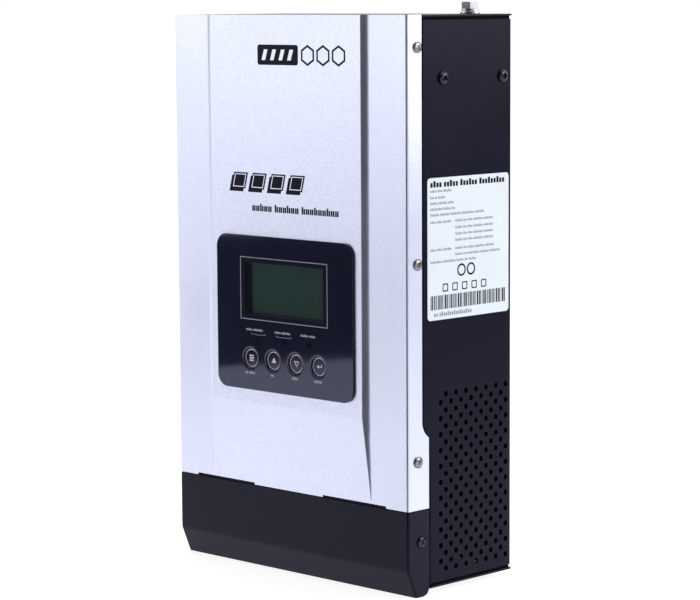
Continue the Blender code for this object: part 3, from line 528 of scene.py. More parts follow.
def make_looks():
    zinc = dict(metallic=1.0, grain=1500, cloud=400, spread=0.05, texture=0.004 * MM)
    dark_paint = dict(grain=1900, spread=0.25, texture=0.025 * MM, Specular_Tint=(0.8, 0.78, 1, 1))
    return {
        "silver": finish(
            "silver_paint", (0.75, 0.785, 0.985), 0.365, 0.92, grain=1500, spread=0.07,
            texture=0.02 * MM, cloud=14, cloud_spread=0.03, stretch=(1, 1, 0.6),
        ),
        "black": finish(
            "black_paint", (0.0048, 0.0043, 0.0180), 0.33, Specular_IOR_Level=0.17, **dark_paint
        ),
        # The side panels' copy of the black paint, darker and with less sheen than the other
        # panels' copy: painted shade on the sides.
        "side": finish(
            "black_paint_shaded_for_sides", (0.0042, 0.0038, 0.0160), 0.33, Specular_IOR_Level=0.11, **dark_paint
        ),
        "zinc": finish("bright_zinc", (0.72, 0.72, 0.73), 0.34, **zinc),
        "screw": finish("screw_zinc", (0.30, 0.295, 0.30), 0.3, **zinc),
        "black_zinc": finish(
            "black_oxide", (0.035, 0.035, 0.05), 0.22, 0.8, grain=1500, spread=0.2,
            texture=0.004 * MM,
        ),
        "label": finish(
            "label_film", (0.83, 0.90, 0.985), 0.42, grain=900, spread=0.02, cloud=30,
            cloud_spread=0.03, texture=0.004 * MM,
        ),
        "film": film_look(),
        "white_ink": finish("white_ink", (0.9, 0.9, 0.98), 0.5, grain=3000, spread=0.1),
        "black_ink": finish(
            "black_ink", (0.008, 0.008, 0.022), 0.35, grain=2500, spread=0.2,
            Specular_IOR_Level=0.08,
        ),
        "grey_ink": finish("grey_ink", (0.32, 0.37, 0.46), 0.5, grain=2500, spread=0.12),
        "caption_ink": finish("caption_ink", (0.46, 0.50, 0.60), 0.5, grain=2500, spread=0.12),
        "frame_ink": finish("frame_ink", (0.42, 0.42, 0.50), 0.45, grain=3000, spread=0.1),
        "screen": screen_look(),
        "bezel": finish("screen_bezel", (0.004, 0.004, 0.006), 0.5, spread=0.1),
        "void": finish(
            "flat_black", (0.0015, 0.0015, 0.002), 0.6, spread=0.1, Specular_IOR_Level=0.04,
        ),
        "pane": finish(
            "clear_pane", (0.02, 0.03, 0.03), 0.04, spread=0.05, sheen_spread=0.01, Alpha=0.18,
        ),
        "key": finish(
            "key_film", (0.0105, 0.0125, 0.0280), 0.09, spread=0.05, sheen_spread=0.02,
            Specular_IOR_Level=0.8, Specular_Tint=FILM_TINT,
        ),
        "grey_plastic": finish(
            "grey_plastic", (0.045, 0.046, 0.05), 0.5, grain=900, texture=0.01 * MM,
        ),
        "lamp": finish("lamp_epoxy", (0.012, 0.012, 0.014), 0.2, spread=0.05),
        "ribbon": finish(
            "ribbon_sleeve", (0.42, 0.42, 0.44), 0.42, grain=60, spread=0.2, stretch=(22, 1, 1),
        ),
        "board": board_look(),
        "aluminium": finish(
            "milled_aluminium", (0.60, 0.61, 0.63), 0.36, 1.0, grain=1100, spread=0.14,
            stretch=(1, 1, 0.03), texture=0.006 * MM,
        ),
        "tray": finish("tray_aluminium", (0.55, 0.56, 0.58), 0.4, 1.0, grain=700, spread=0.1),
        "copper": finish(
            "enamelled_copper", (0.62, 0.22, 0.07), 0.26, 0.95, grain=900, spread=0.12, cloud=200,
        ),
        "core": finish("ferrite_core", (0.35, 0.30, 0.06), 0.55, grain=700, spread=0.15),
        "sleeve": finish("capacitor_sleeve", (0.012, 0.02, 0.07), 0.3, grain=500, spread=0.1),
        "can_top": finish(
            "capacitor_top", (0.6, 0.6, 0.62), 0.3, 1.0, grain=1200, spread=0.08,
        ),
        "terminal": finish(
            "terminal_plastic", (0.025, 0.16, 0.07), 0.45, grain=800, texture=0.01 * MM,
        ),
        "fan": finish(
            "fan_plastic", (0.018, 0.018, 0.02), 0.42, grain=900, spread=0.2, texture=0.01 * MM,
        ),
        "rubber": finish(
            "rubber", (0.022, 0.022, 0.024), 0.72, grain=1200, spread=0.25, texture=0.02 * MM,
        ),
        "chip": finish("chip_resin", (0.02, 0.02, 0.022), 0.5, grain=1500, spread=0.2),
        "sticker": finish("hub_sticker", (0.30, 0.31, 0.33), 0.4, grain=500, spread=0.06),
    }


looks = make_looks()


# ---------------------------------------------------------------- case


def flange_rear(z):
    """Depth of the covers' flange edge, which steps out along a curve near the foot."""
    if z >= STEP_TOP:
        return FLANGE_NARROW
    if z <= STEP_FOOT:
        return FLANGE_WIDE
    rise = STEP_TOP - STEP_FOOT
    run = FLANGE_WIDE - FLANGE_NARROW
    radius = (rise**2 + run**2) / (2 * run)
    return FLANGE_NARROW + radius - sqrt(radius**2 - (STEP_TOP - z) ** 2)


def step_heights(count=10):
    return [STEP_FOOT + (STEP_TOP - STEP_FOOT) * i / count for i in range(count + 1)]


def both_sides(half):
    """Corners of a section given for x > 0, from the middle outwards, mirrored to x < 0."""
    return [(-x, depth, radius) for x, depth, radius in reversed(half)] + half


def at_height(section, z):
    return [(x, depth, z) for x, depth in section]


def screw_holes(nodes):
    """Round holes seen along X, at the screws of these CAD nodes."""
    return [circle((face_middle(n).y, face_middle(n).z), SCREW_HOLE, 24) for n in nodes]


def screw_cutter(nodes):
    """Those holes, through both sides of the case."""
    return prisms(screw_holes(nodes), "X", (-HALF - 5 * MM, HALF + 5 * MM))


def front_cover():
    """Pressed sheet: the raised middle ramps back into the sheet near the foot."""
    rows = []
    for z in [COVER_FOOT, RAMP_FOOT] + step_heights() + [*COVER_OPENING[1], HEIGHT]:
        share = min(max((z - RAMP_FOOT) / (STEP_TOP - RAMP_FOOT), 0), 1)
        narrow = 0.25 + 0.75 * share
        half = [
            (COVER_OPENING[0][1], -PANEL_RAISE, 0),
            (PANEL_HALF_FOOT - PANEL_BEVEL_RUN, -PANEL_RAISE, CREST_RADIUS),
            (PANEL_HALF_FOOT, 0, FOOT_RADIUS),
            (HALF, 0, FOLD_RADIUS),
            (HALF, flange_rear(z), 0),
        ]
        row = []
        for x, depth in filleted(both_sides(half)):
            if abs(x) < BEVEL_END:
                depth *= share
            if COVER_OPENING[0][1] < abs(x) < BEVEL_END:
                x = copysign(BEVEL_END - (BEVEL_END - abs(x)) * narrow, x)
            row.append((x, depth, z))
        rows.append(row)
    notch_top = COVER_FOOT + NOTCH_HEIGHT
    notches = [(x, mm(-2, 3), (COVER_FOOT - 2 * MM, notch_top)) for x in NOTCHES]
    screws = [f"cover_screw_right_{place}" for place in ("top", "middle", "foot")]
    cutters = [boxes(notches), screw_cutter(screws)]
    mesh = worked(grid_mesh(rows, opening=COVER_OPENING), SHEET, cutters, rim=RIM)
    put("front_cover_shell", mesh, "silver", "silver_paint", ["front_cover"])


def terminal_cover():
    """Folded sheet whose toe slopes back to a short lip underneath."""
    profile = filleted([(0, TOE_DEPTH), (TOE_HEIGHT, 0, 9 * MM), (TERMINAL_TOP, 0)], 8)
    rows = []
    for z, front in profile[:1] + [(1 * MM, None), (3.8 * MM, None)] + profile[1:]:
        if front is None:
            front = TOE_DEPTH * (1 - z / TOE_HEIGHT)
        rear = {0: 13 * MM, 1 * MM: 16.3 * MM}.get(z, FLANGE_WIDE)
        half = [(HALF, front, FOLD_RADIUS), (HALF, rear, 0)]
        rows.append(at_height(filleted(both_sides(half)), z))
    tab_x = mm(-88, 88)
    rear = 2 * SHEET + GAP
    tab = [
        (tab_x, (SHEET + GAP, rear), (46 * MM, COVER_FOOT + 7 * MM)),
        (tab_x, (0.9 * MM, rear - 0.2 * MM), mm(45.5, 51.5)),
    ]
    holes = screw_cutter(["terminal_cover_screw_right"])
    sheet = grid_mesh(rows, closed_foot=True)
    mesh = worked(sheet, SHEET, [holes], [boxes(tab[:1]), boxes(tab[1:])], rim=RIM)
    put("terminal_cover_shell", mesh, "black", "black_paint", ["terminal_cover"])


def perforation():
    """Side holes: long columns alternate with columns one hole shorter."""
    outlines = []
    for column in range(HOLE_COLUMNS):
        long = column % 2
        foot = LONG_COLUMN_FOOT + (0 if long else ROW_PITCH / 2)
        for row in range(LONG_COLUMN_HOLES - (0 if long else 1)):
            centre = (FIRST_COLUMN + column * COLUMN_PITCH, foot + row * ROW_PITCH)
            outlines.append(circle(centre, HOLE_RADIUS, 20))
    return outlines


def side_panels():
    """Sheets with a stepped lip under the covers' flanges and a folded rear edge."""
    rows = []
    for z in [SIDE_FOOT, 24 * MM] + step_heights() + [SIDE_TOP]:
        step = flange_rear(z) - 0.2 * MM
        corners = [
            (HALF - LIP_DROP, 9.5 * MM if z == SIDE_FOOT else 3.5 * MM, 0),
            (HALF - LIP_DROP, step, 0.4 * MM),
            (HALF, step + 1.6 * MM, 0.9 * MM),
            (HALF, DEPTH - 4.8 * MM, 1.5 * MM),
            (HALF - 0.22 * MM, DEPTH, 1.4 * MM),
            (HALF - 8 * MM, DEPTH, 0),
        ]
        rows.append(at_height(filleted(corners), z))
    sheet = grid_mesh(rows)
    outlines = perforation() + screw_holes(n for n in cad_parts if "screw_right" in n)
    cutter = prisms(outlines, "X", about(HALF, 5 * MM))
    mesh = worked(sheet, SHEET, [cutter], rim=0.16 * MM)
    mirror = moved(mesh, Matrix.Scale(-1, 4, (1, 0, 0)))
    # The side panels take the darker copy of the black paint, which is painted shade.
    for side, shape in (("right", mesh), ("left", mirror)):
        put(f"side_panel_{side}_sheet", shape, "side", "black_paint",
            [f"side_panel_{side}"])


def plain_panels():
    """Top, foot and back as in the CAD, cups behind the keyholes, and flat black strips behind the
    corner gaps as painted shade.
    """
    for name in ("top_panel", "bottom_panel", "back_plate"):
        mesh = cad_copy(name, rim=RIM, whole=name != "top_panel")
        put(f"{name}_sheet", mesh, "black", "black_paint", [name])
    cups = []
    rear = face_box("back_plate")[0].y
    for x, z in KEYHOLES:
        outline = rounded(about(x, 8 * MM), (z - 8 * MM, z + 16 * MM), 4 * MM)
        hollow = [(x + (a - x) * 0.86, z + 4 * MM + (b - z - 4 * MM) * 0.9) for a, b in outline]
        cup = prisms([outline], "Y", (rear - 6.5 * MM, rear - 0.1 * MM))
        pit = prisms([hollow], "Y", (rear - 5.5 * MM, rear + 1 * MM))
        cups.append(worked(cup, cutters=[pit], rim=0.4 * MM))
    top, foot = face_box("top_panel")[1].z, face_box("bottom_panel")[0].z
    # Flat black strips inside the case at the corner gaps: painted shade, so that the gaps look
    # dark.
    strips = []
    for x in ((-HALF + MM, -HALF + 3 * MM), (HALF - 3 * MM, HALF - MM)):
        for z in ((SIDE_TOP - 2 * MM, top - 0.4 * MM), (foot + 0.4 * MM, SIDE_FOOT + 2 * MM)):
            strips.append((x, (13 * MM, DEPTH - 0.8 * MM), z))
    put("case_gap_shade_strips", worked(boxes(strips), rim=0.4 * MM), "void", "black_paint")
    put("keyhole_cups", merged(*cups), "fan", "black_paint")


# ---------------------------------------------------------------- fasteners


def pan_head_screw(head, height, shank, length):
    """Cross-recessed screw: its axis is Z, and its head stands on z = 0."""
    dome = filleted([
        (shank, -length), (shank, 0, 0), (head, 0, 0.12 * head), (head, 0.45 * height, 0.35 * head),
        (0.55 * head, height, 0.9 * head), (0, height),
    ])
    profile = [(0, -length)] + [p for p in dome if p[0] > 1e-6] + [(0, height)]
    arm, slit = 0.58 * head, 0.13 * head
    cross = []
    for quarter in range(4):
        turn = Matrix.Rotation(pi / 2 * quarter, 2)
        for point in ((arm, -slit * 0.7), (arm, slit * 0.7), (slit * 1.5, slit * 1.5)):
            cross.append(tuple(turn @ Vector(point)))
    cutter = bmesh.new()
    levels = ((0.25 * height, 0.55), (height * 1.2, 1.05))
    loops = [loop_of(cutter, [(x * k, y * k, z) for x, y in cross]) for z, k in levels]
    bridge(cutter, loops, capped=True)
    return worked(turned(profile, 40), cutters=[mesh_of(cutter)], rim=0.05 * MM, under=30)


def case_screws():
    """Each screw lies along X with its recess turned as it was left."""
    small = pan_head_screw(*mm(3.45, 1, 1.8, 7))
    large = pan_head_screw(*mm(4, 1.9, 1.8, 7))
    names = [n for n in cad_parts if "screw_left" in n or "screw_right" in n]
    for i, name in enumerate(sorted(names)):
        low, high = face_box(name)
        side = 1 if low.x > 0 else -1
        seat = Vector((side * (HALF + GAP), (low.y + high.y) / 2, (low.z + high.z) / 2))
        turn = radians(20 + 37 * i % 90)
        shape = moved(
            large if name.startswith("side") else small, Matrix.Translation(seat),
            Matrix.Rotation(side * pi / 2, 4, "Y"), Matrix.Rotation(turn, 4, "Z"),
        )
        bright = name.startswith("cover")
        finished = ("screw", "bright_zinc") if bright else ("black_zinc", "black_oxide")
        put(f"{name}_finished", shape, *finished, [name])


def earthing_bolt():
    """Flat washer, split washer and hexagon-head bolt on the top panel."""
    low, high = face_box("earth_flat_washer")
    centre = (low + high) / 2
    axis = Matrix.Translation((centre.x, centre.y, 0))
    rim = 0.2 * MM
    hole, edge = 3.3 * MM, (high.x - low.x) / 2
    section = [(hole, low.z, rim), (edge, low.z, rim), (edge, high.z, rim), (hole, high.z, rim)]
    washer = turned(filleted(section, 4, closed=True), 64, closed=True)

    low, high = face_box("earth_spring_washer")
    foot, top, edge = low.z + 0.12 * MM, high.z - 0.12 * MM, 5.3 * MM
    section = ((hole, foot), (edge, foot), (edge, top), (hole, top))
    bm = bmesh.new()
    loops = []
    for i in range(49):
        a = radians(-60 + 348 * i / 48)
        lift = 0.12 * MM * (i / 24 - 1)
        loops.append(loop_of(bm, [(r * cos(a), r * sin(a), z + lift) for r, z in section]))
    bridge(bm, loops, capped=True)
    spring = worked(mesh_of(bm), rim=0.18 * MM)

    low, high = face_box("earth_bolt")
    seat = face_box("earth_spring_washer")[1].z + 0.15 * MM
    across = BOLT_FLATS / sqrt(3)
    head = prisms([circle((0, 0), across, 6, radians(14))], "Z", (seat, high.z))
    reach = across * 1.2
    cone = [(across * 0.84, high.z + 1e-5), (reach, high.z + 1e-5), (reach, high.z - 1.2 * MM)]
    shank = turned([(0, seat - 16 * MM), (2.6 * MM, seat - 16 * MM), (3 * MM, seat - 15.6 * MM),
                    (3 * MM, seat + 1 * MM), (0, seat + 1 * MM)], 40)
    dish = turned([(0, high.z - 0.35 * MM), (across * 0.5, high.z - 0.25 * MM),
                   (across * 0.56, high.z + 0.5 * MM), (0, high.z + 0.5 * MM)], 40)
    bolt = worked(head, cutters=[turned(cone, 64, closed=True), dish], joined=[shank],
                  rim=0.1 * MM, under=30)
    pieces = (("earth_flat_washer", washer), ("earth_spring_washer", spring), ("earth_bolt", bolt))
    for name, mesh in pieces:
        put(f"{name}_finished", moved(mesh, axis), "zinc", "bright_zinc", [name])


# ---------------------------------------------------------------- display panel


def dip(distance):
    """How far the film sinks at a distance from the middle of a key."""
    share = (DIP_REACH - distance) / (DIP_REACH - KEY_RADIUS - GAP)
    return DIP_DEPTH * share * share if share > 0 else 0.0


def key_middles():
    return {word: face_middle(f"key_{word}") for word in KEYS}


def lamp_middles():
    return {word: face_middle(f"indicator_{word}") for word in LAMPS}


def display_film():
    """Gloss film that sinks softly towards each key, with a window and lamp holes."""
    outline = rounded((-FILM_HALF, FILM_HALF), (FILM_FOOT, FILM_TOP), 8 * MM, 12)
    window = rectangle((-WINDOW_HALF, WINDOW_HALF), (WINDOW_FOOT, WINDOW_TOP))
    lamps = [circle((m.x, m.z), LAMP_HOLE, 20) for m in lamp_middles().values()]
    bm = bmesh.new()
    edges = []
    for loop in [outline, window, *lamps]:
        corners = lifted(bm, loop, "Y", FILM_FRONT)
        edges += [bm.edges.new((a, b)) for a, b in zip(corners, corners[1:] + corners[:1])]
    for middle in key_middles().values():
        rings = []
        steps = 14
        for i in range(steps + 1):
            reach = DIP_REACH + (KEY_RADIUS + GAP - DIP_REACH) * i / steps
            depth = FILM_FRONT + dip(reach)
            rings.append(lifted(bm, circle((middle.x, middle.z), reach, 64), "Y", depth))
        bridge(bm, rings)
        first = rings[0]
        edges += [bm.edges.get((a, b)) for a, b in zip(first, first[1:] + first[:1])]
    bmesh.ops.triangle_fill(bm, use_beauty=True, edges=edges)
    bmesh.ops.recalc_face_normals(bm, faces=bm.faces)
    if sum(face.normal.y for face in bm.faces) > 0:
        bmesh.ops.reverse_faces(bm, faces=bm.faces)
    mesh = worked(mesh_from(bm), FILM_THICKNESS, rim=0.12 * MM, under=30)
    put("display_film", mesh, "film", "overlay_black", ["display_overlay"])


def ring_into(bm, outer, inner, axis, span):
    """A flat ring between two outlines with the same number of points."""
    sides = ((outer, span[0]), (outer, span[1]), (inner, span[1]), (inner, span[0]))
    loops = [lifted(bm, outline, axis, level) for outline, level in sides]
    bridge(bm, loops + loops[:1])


class Print:
    """Shapes of one ink on a flat surface, as a thin solid layer."""

    def __init__(self, axis, surface, outward):
        self.bm = bmesh.new()
        self.axis = axis
        self.span = (surface - outward * 0.02 * MM, surface + outward * INK)

    def shape(self, outline):
        prism_into(self.bm, outline, self.axis, self.span)

    def box(self, across, up):
        self.shape(rectangle(across, up))

    def ring(self, outer, inner):
        ring_into(self.bm, outer, inner, self.axis, self.span)

    def words(self, start, foot, height, counts, pitch=LETTER_PITCH, strokes=1):
        """Greeked lettering: one or two plain uprights for each letter, and no letters."""
        across = start
        step = pitch * height
        wide = step * (0.74 if strokes == 1 else 0.37)
        for count in counts:
            for i in range(count):
                tall = height * (1 if (i * 5 + count) % 3 == 0 else 0.74)
                self.box((across, across + wide), (foot, foot + tall))
                if strokes == 2:
                    second = across + 1.25 * wide
                    self.box((second, second + wide), (foot, foot + 0.74 * height))
                across += step
            across += 0.6 * step

    def mesh(self):
        return mesh_of(self.bm)


def slanted(x, z, lean):
    return [(x[0], z[0]), (x[1], z[0]), (x[1] + lean, z[1]), (x[0] + lean, z[1])]


def inset_outline(outline, by):
    """The outline scaled towards its middle, so that its half height loses `by`."""
    middle = sum((Vector(p) for p in outline), Vector((0, 0))) / len(outline)
    half = max(abs(p[1] - middle.y) for p in outline)
    return [tuple(middle + (Vector(p) - middle) * (1 - by / half)) for p in outline]


def cover_prints():
    """Plain emblem, four slanted blocks and a greeked line, in black on the silver cover."""
    ink = Print("Y", -PANEL_RAISE, -1)
    plate = rounded(mm(-22.2, 12.8), mm(314.7, 327), 1.6 * MM, 5)
    ink.shape(plate)
    for i in range(3):
        middle = (21 * MM + i * 13 * MM, 320.8 * MM)
        ink.ring(circle(middle, 6.4 * MM, 6, pi / 6), circle(middle, 4.9 * MM, 6, pi / 6))
    blocks = []
    for i in range(4):
        left = -46.5 * MM + i * 16.6 * MM
        block = slanted((left, left + 12.2 * MM), mm(238.4, 248.4), 2.6 * MM)
        shadow = [(x - 1.9 * MM, z - 1.9 * MM) for x, z in block]
        ink.shape(shadow)
        blocks.append(block)
    ink.words(-28.2 * MM, 225 * MM, 4.6 * MM, (5, 6, 9), 0.77, 2)
    put("cover_print_black", ink.mesh(), "black_ink", "overlay_black")

    top = Print("Y", -PANEL_RAISE - INK, -1)
    for block in blocks:
        top.shape(block)
    put("cover_print_blocks", top.mesh(), "black_ink", "overlay_black")

    light = Print("Y", -PANEL_RAISE - INK, -1)
    for i in range(4):
        left = -18.6 * MM + i * 7.4 * MM
        lozenge = slanted((left, left + 3.1 * MM), mm(317.6, 324.1), 2.2 * MM)
        light.shape(lozenge)
    put("cover_print_lozenges", light.mesh(), "silver", "silver_paint")

    line = Print("Y", -PANEL_RAISE - 2 * INK, -1)
    for block in blocks:
        line.ring(inset_outline(block, 0.9 * MM), inset_outline(block, 1.4 * MM))
    put("cover_print_outlines", line.mesh(), "silver", "silver_paint")


def film_prints():
    """Frame line, captions and brackets on the display film."""
    frame_line = Print("Y", FILM_FRONT, -1)
    outer = rectangle(mm(-37.9, 37.9), mm(157.5, 196.4))
    inner = rectangle(mm(-37.4, 37.4), mm(158, 195.9))
    frame_line.ring(outer, inner)
    put("film_print_frame", frame_line.mesh(), "frame_ink", "overlay_black")

    captions = Print("Y", FILM_FRONT, -1)
    row = 150.6 * MM
    for left, counts in ((-33 * MM, (5, 8)), (-7.7 * MM, (5, 7)), (15 * MM, (6, 5))):
        captions.words(left, row, 1.55 * MM, counts)
    for word, counts in (("menu", (2, 4)), ("up", (2,)), ("down", (4,)), ("enter", (5,))):
        middle = key_middles()[word]
        letters = sum(counts) + 0.7 * (len(counts) - 1)
        width = letters * LETTER_PITCH * 1.9 * MM
        captions.words(middle.x - width / 2, 123.4 * MM, 1.9 * MM, counts)
    for left, right in (mm(-28.5, -16), mm(-6.2, 6.6)):
        low = 148.4 * MM
        captions.box((left, right), (low, low + 0.22 * MM))
        for x in (left, right - 0.22 * MM):
            captions.box((x, x + 0.22 * MM), (low + 0.22 * MM, low + 1 * MM))
        middle = (left + right) / 2
        captions.box((middle, middle + 0.22 * MM), (low - 0.6 * MM, low))
    put("film_print_captions", captions.mesh(), "caption_ink", "overlay_black")


def key_icon(word, ink, x, z):
    """Bars for the menu, triangles for up and down, a returning arrow for enter."""
    if word == "menu":
        for lift in mm(-1.5, 0, 1.5):
            ink.box(about(x, 1.9 * MM), about(z + lift, 0.45 * MM))
    elif word == "up":
        ink.shape([(x - 2 * MM, z - 1.3 * MM), (x + 2 * MM, z - 1.3 * MM), (x, z + 2 * MM)])
    elif word == "down":
        outer = [(x + 2.1 * MM, z + 1.5 * MM), (x - 2.1 * MM, z + 1.5 * MM), (x, z - 2.1 * MM)]
        middle = (x, z + 0.3 * MM)
        inner = [(middle[0] + (a - middle[0]) * 0.66, middle[1] + (b - middle[1]) * 0.66)
                 for a, b in outer]
        ink.ring(outer, inner)
    else:
        ink.shape([(x - 2.3 * MM, z), (x - 0.6 * MM, z - 1.1 * MM), (x - 0.6 * MM, z + 1.1 * MM)])
        ink.box((x - 0.6 * MM, x + 2.1 * MM), about(z, 0.3 * MM))
        ink.box((x + 1.6 * MM, x + 2.1 * MM), (z + 0.3 * MM, z + 1.5 * MM))


def keys():
    """Shallow caps with a retaining rim and a stem, and a printed ring and icon."""
    for word, middle in key_middles().items():
        low, high = face_box(f"key_{word}")
        front, rear = low.y, high.y
        rim = (high.x - low.x) / 2
        corners = [
            (1.6 * MM, rear, 0.2 * MM), (1.6 * MM, front + 4.1 * MM, 0),
            (KEY_RADIUS, front + 4.1 * MM, 0.1 * MM), (KEY_RADIUS, front + 1.7 * MM, 0),
            (rim, front + 1.7 * MM, 0.1 * MM), (rim, front + 0.5 * MM, 0.1 * MM),
            (KEY_RADIUS, front + 0.5 * MM, 0), (KEY_RADIUS, front, 0.14 * MM),
        ]
        profile = filleted([(0, rear)] + corners + [(0, front)], 4)
        cap = moved(turned(profile, 64), Matrix.Rotation(-pi / 2, 4, "X"))
        cap = moved(cap, Matrix.Translation((middle.x, 0, middle.z)))
        body = f"{word}_key"
        put(f"key_{word}_cap", cap, "key", "key_black", [f"key_{word}"], body)
        ink = Print("Y", front, -1)
        centre = (middle.x, middle.z)
        ink.ring(circle(centre, 5.64 * MM, 64), circle(centre, 5.08 * MM, 64))
        key_icon(word, ink, middle.x, middle.z)
        put(f"key_{word}_print", ink.mesh(), "white_ink", "key_black", body=body)


def screen():
    """Dark module with a well, the screen glass in it and the clear pane in the window."""
    module = cad_copy("screen_module", rim=0.15 * MM)
    put("screen_bezel", module, "bezel", "screen_green", ["screen_module"])
    outline = rounded(mm(-30.7, 30.7), mm(161.4, 192.6), 0.5 * MM, 4)
    glass = prisms([outline], "Y", mm(-0.5, 0.1))
    put("screen_glass", worked(glass, rim=0.1 * MM), "screen", "screen_green")
    low, high = face_box("display_window")
    pane = prisms([rounded((low.x, high.x), (low.z, high.z), 0.4 * MM, 4)], "Y", (low.y, high.y))
    put("window_pane", worked(pane, rim=0.08 * MM), "pane", "clear_pane",
        ["display_window"])


def lamps():
    surround = Print("Y", FILM_FRONT, -1)
    for word, middle in lamp_middles().items():
        centre = (middle.x, middle.z)
        surround.ring(circle(centre, 2.2 * MM, 32), circle(centre, 1.6 * MM, 32))
        low, high = face_box(f"indicator_{word}")
        length = high.y - low.y
        corners = [mm(1.9, 0, 0.1), mm(1.9, 1, 0.1), mm(1.5, 1, 0), (1.5 * MM, length, 1.2 * MM)]
        profile = filleted([(0, 0)] + corners + [(0, length)], 8)
        lamp = moved(turned(profile, 32), Matrix.Rotation(pi / 2, 4, "X"))
        lamp = moved(lamp, Matrix.Translation((middle.x, high.y, middle.z)))
        put(f"indicator_{word}_lens", lamp, "lamp", "lamp_clear", [f"indicator_{word}"])
    put("film_print_surrounds", surround.mesh(), "void", "overlay_black")


# ---------------------------------------------------------------- rating label


def rating_label():
    """White film with a title, greeked lines, plain marks and a field of upright bars."""
    low, high = face_box("rating_label")
    sheet = prisms([rounded((low.y, high.y), (low.z, high.z), 2.5 * MM)], "X", (low.x, high.x))
    put("rating_label_film", worked(sheet, rim=0.05 * MM), "label", "label_white",
        ["rating_label"])
    left, top = low.y + 2.6 * MM, high.z
    dark = Print("X", high.x, 1)
    dark.words(left, top - 5.6 * MM, 3.7 * MM, (4, 5, 6, 9))
    pale = Print("X", high.x, 1)
    indent = left + 22 * MM
    rows = [
        (left, 8.6, (5, 4, 7)), (left, 12.4, (3, 2, 6)), (left, 15.8, (6, 7, 5)),
        (left, 19.3, (10, 6, 3)), (left, 22.7, (7, 8, 9, 10, 8)), (left, 27, (4, 5, 7)),
        (indent, 27, (6, 3, 4, 8, 8)), (indent, 31, (6, 3, 4, 8, 8)),
        (indent, 34.8, (6, 3, 4, 8, 8)), (indent, 38.5, (6, 3, 4, 8, 8)),
        (left, 43.4, (4, 5, 7)), (indent, 43.4, (6, 3, 5, 8, 8)), (indent, 47, (6, 3, 9, 8, 9)),
        (left, 50.6, (9, 11, 6, 3, 6)),
    ]
    for start, drop, counts in rows:
        pale.words(start, top - drop * MM, 1.55 * MM, counts)
    pale.words(left + 3 * MM, low.z + 2.1 * MM, 2.6 * MM, (2, 16))
    for depth in mm(47, 55.5):
        centre = (depth, top - 56 * MM)
        dark.ring(circle(centre, 3.8 * MM, 32), circle(centre, (3.8 - 1.1) * MM, 32))
    for i in range(5):
        middle = left + 13 * MM + i * 8.6 * MM
        span = (top - 68 * MM, top - 63.2 * MM)
        square = rounded(about(middle, 2.4 * MM), span, 0.8 * MM, 4)
        dark.ring(square, inset_outline(square, 0.7 * MM))
    across = left
    for i in range(52):
        width = (0.35 + 0.28 * (i * 7 % 4)) * MM
        dark.box((across, across + width), (low.z + 6.2 * MM, low.z + 14.6 * MM))
        across += width + (0.45 + 0.22 * (i * 5 % 3)) * MM
        if across > high.y - 4 * MM:
            break
    put("rating_label_print_dark", dark.mesh(), "black_ink", "label_white")
    put("rating_label_print_grey", pale.mesh(), "grey_ink", "label_white")


# ---------------------------------------------------------------- inside


def tube(points, radius, sides=8):
    """A round wire along the points, with flat ends."""
    bm = bmesh.new()
    points = [Vector(p) for p in points]
    rings = []
    normal = None
    for i, point in enumerate(points):
        ahead = points[min(i + 1, len(points) - 1)] - points[max(i - 1, 0)]
        along = ahead.normalized()
        if normal is None:
            normal = along.orthogonal().normalized()
        normal = (normal - along * normal.dot(along)).normalized()
        across = along.cross(normal)
        ring = circle((0, 0), radius, sides)
        rings.append(loop_of(bm, [point + normal * x + across * y for x, y in ring]))
    bridge(bm, rings, capped=True)
    return mesh_of(bm, 50)


def facing_front(mesh, node):
    """A mesh whose axis is Z, turned to lie along depth from a CAD node's rear to its front."""
    low, high = face_box(node)
    place = Matrix.Translation(((low.x + high.x) / 2, high.y, (low.z + high.z) / 2))
    return moved(mesh, place, Matrix.Rotation(pi / 2, 4, "X"))


def inductors():
    """Ring core with one layer of enamelled wire wound round most of it."""
    core = [mm(10.8, 1.7, 1.5), mm(19.2, 1.7, 1.5), mm(19.2, 18.3, 1.5), mm(10.8, 18.3, 1.5)]
    ring = turned(filleted(core, 5, closed=True), 64, closed=True)
    steps = 22
    path = []
    for i in range(WINDING_TURNS * steps + 1):
        around = radians(20 + 320 * i / (WINDING_TURNS * steps))
        a = 2 * pi * i / steps
        swell = (abs(cos(a)) ** 4 + abs(sin(a)) ** 4) ** -0.25
        radius = CORE_MIDDLE + 5.1 * MM * cos(a) * swell
        height = 10 * MM + 9.1 * MM * sin(a) * swell
        path.append((radius * cos(around), radius * sin(around), height))
    wire = tube(path, 0.74 * MM, 8)
    for word in SIDES:
        name = f"inductor_{word}"
        put(f"{name}_core", facing_front(ring, name), "core", "copper_winding", [name])
        put(f"{name}_winding", facing_front(wire, name), "copper", "copper_winding")


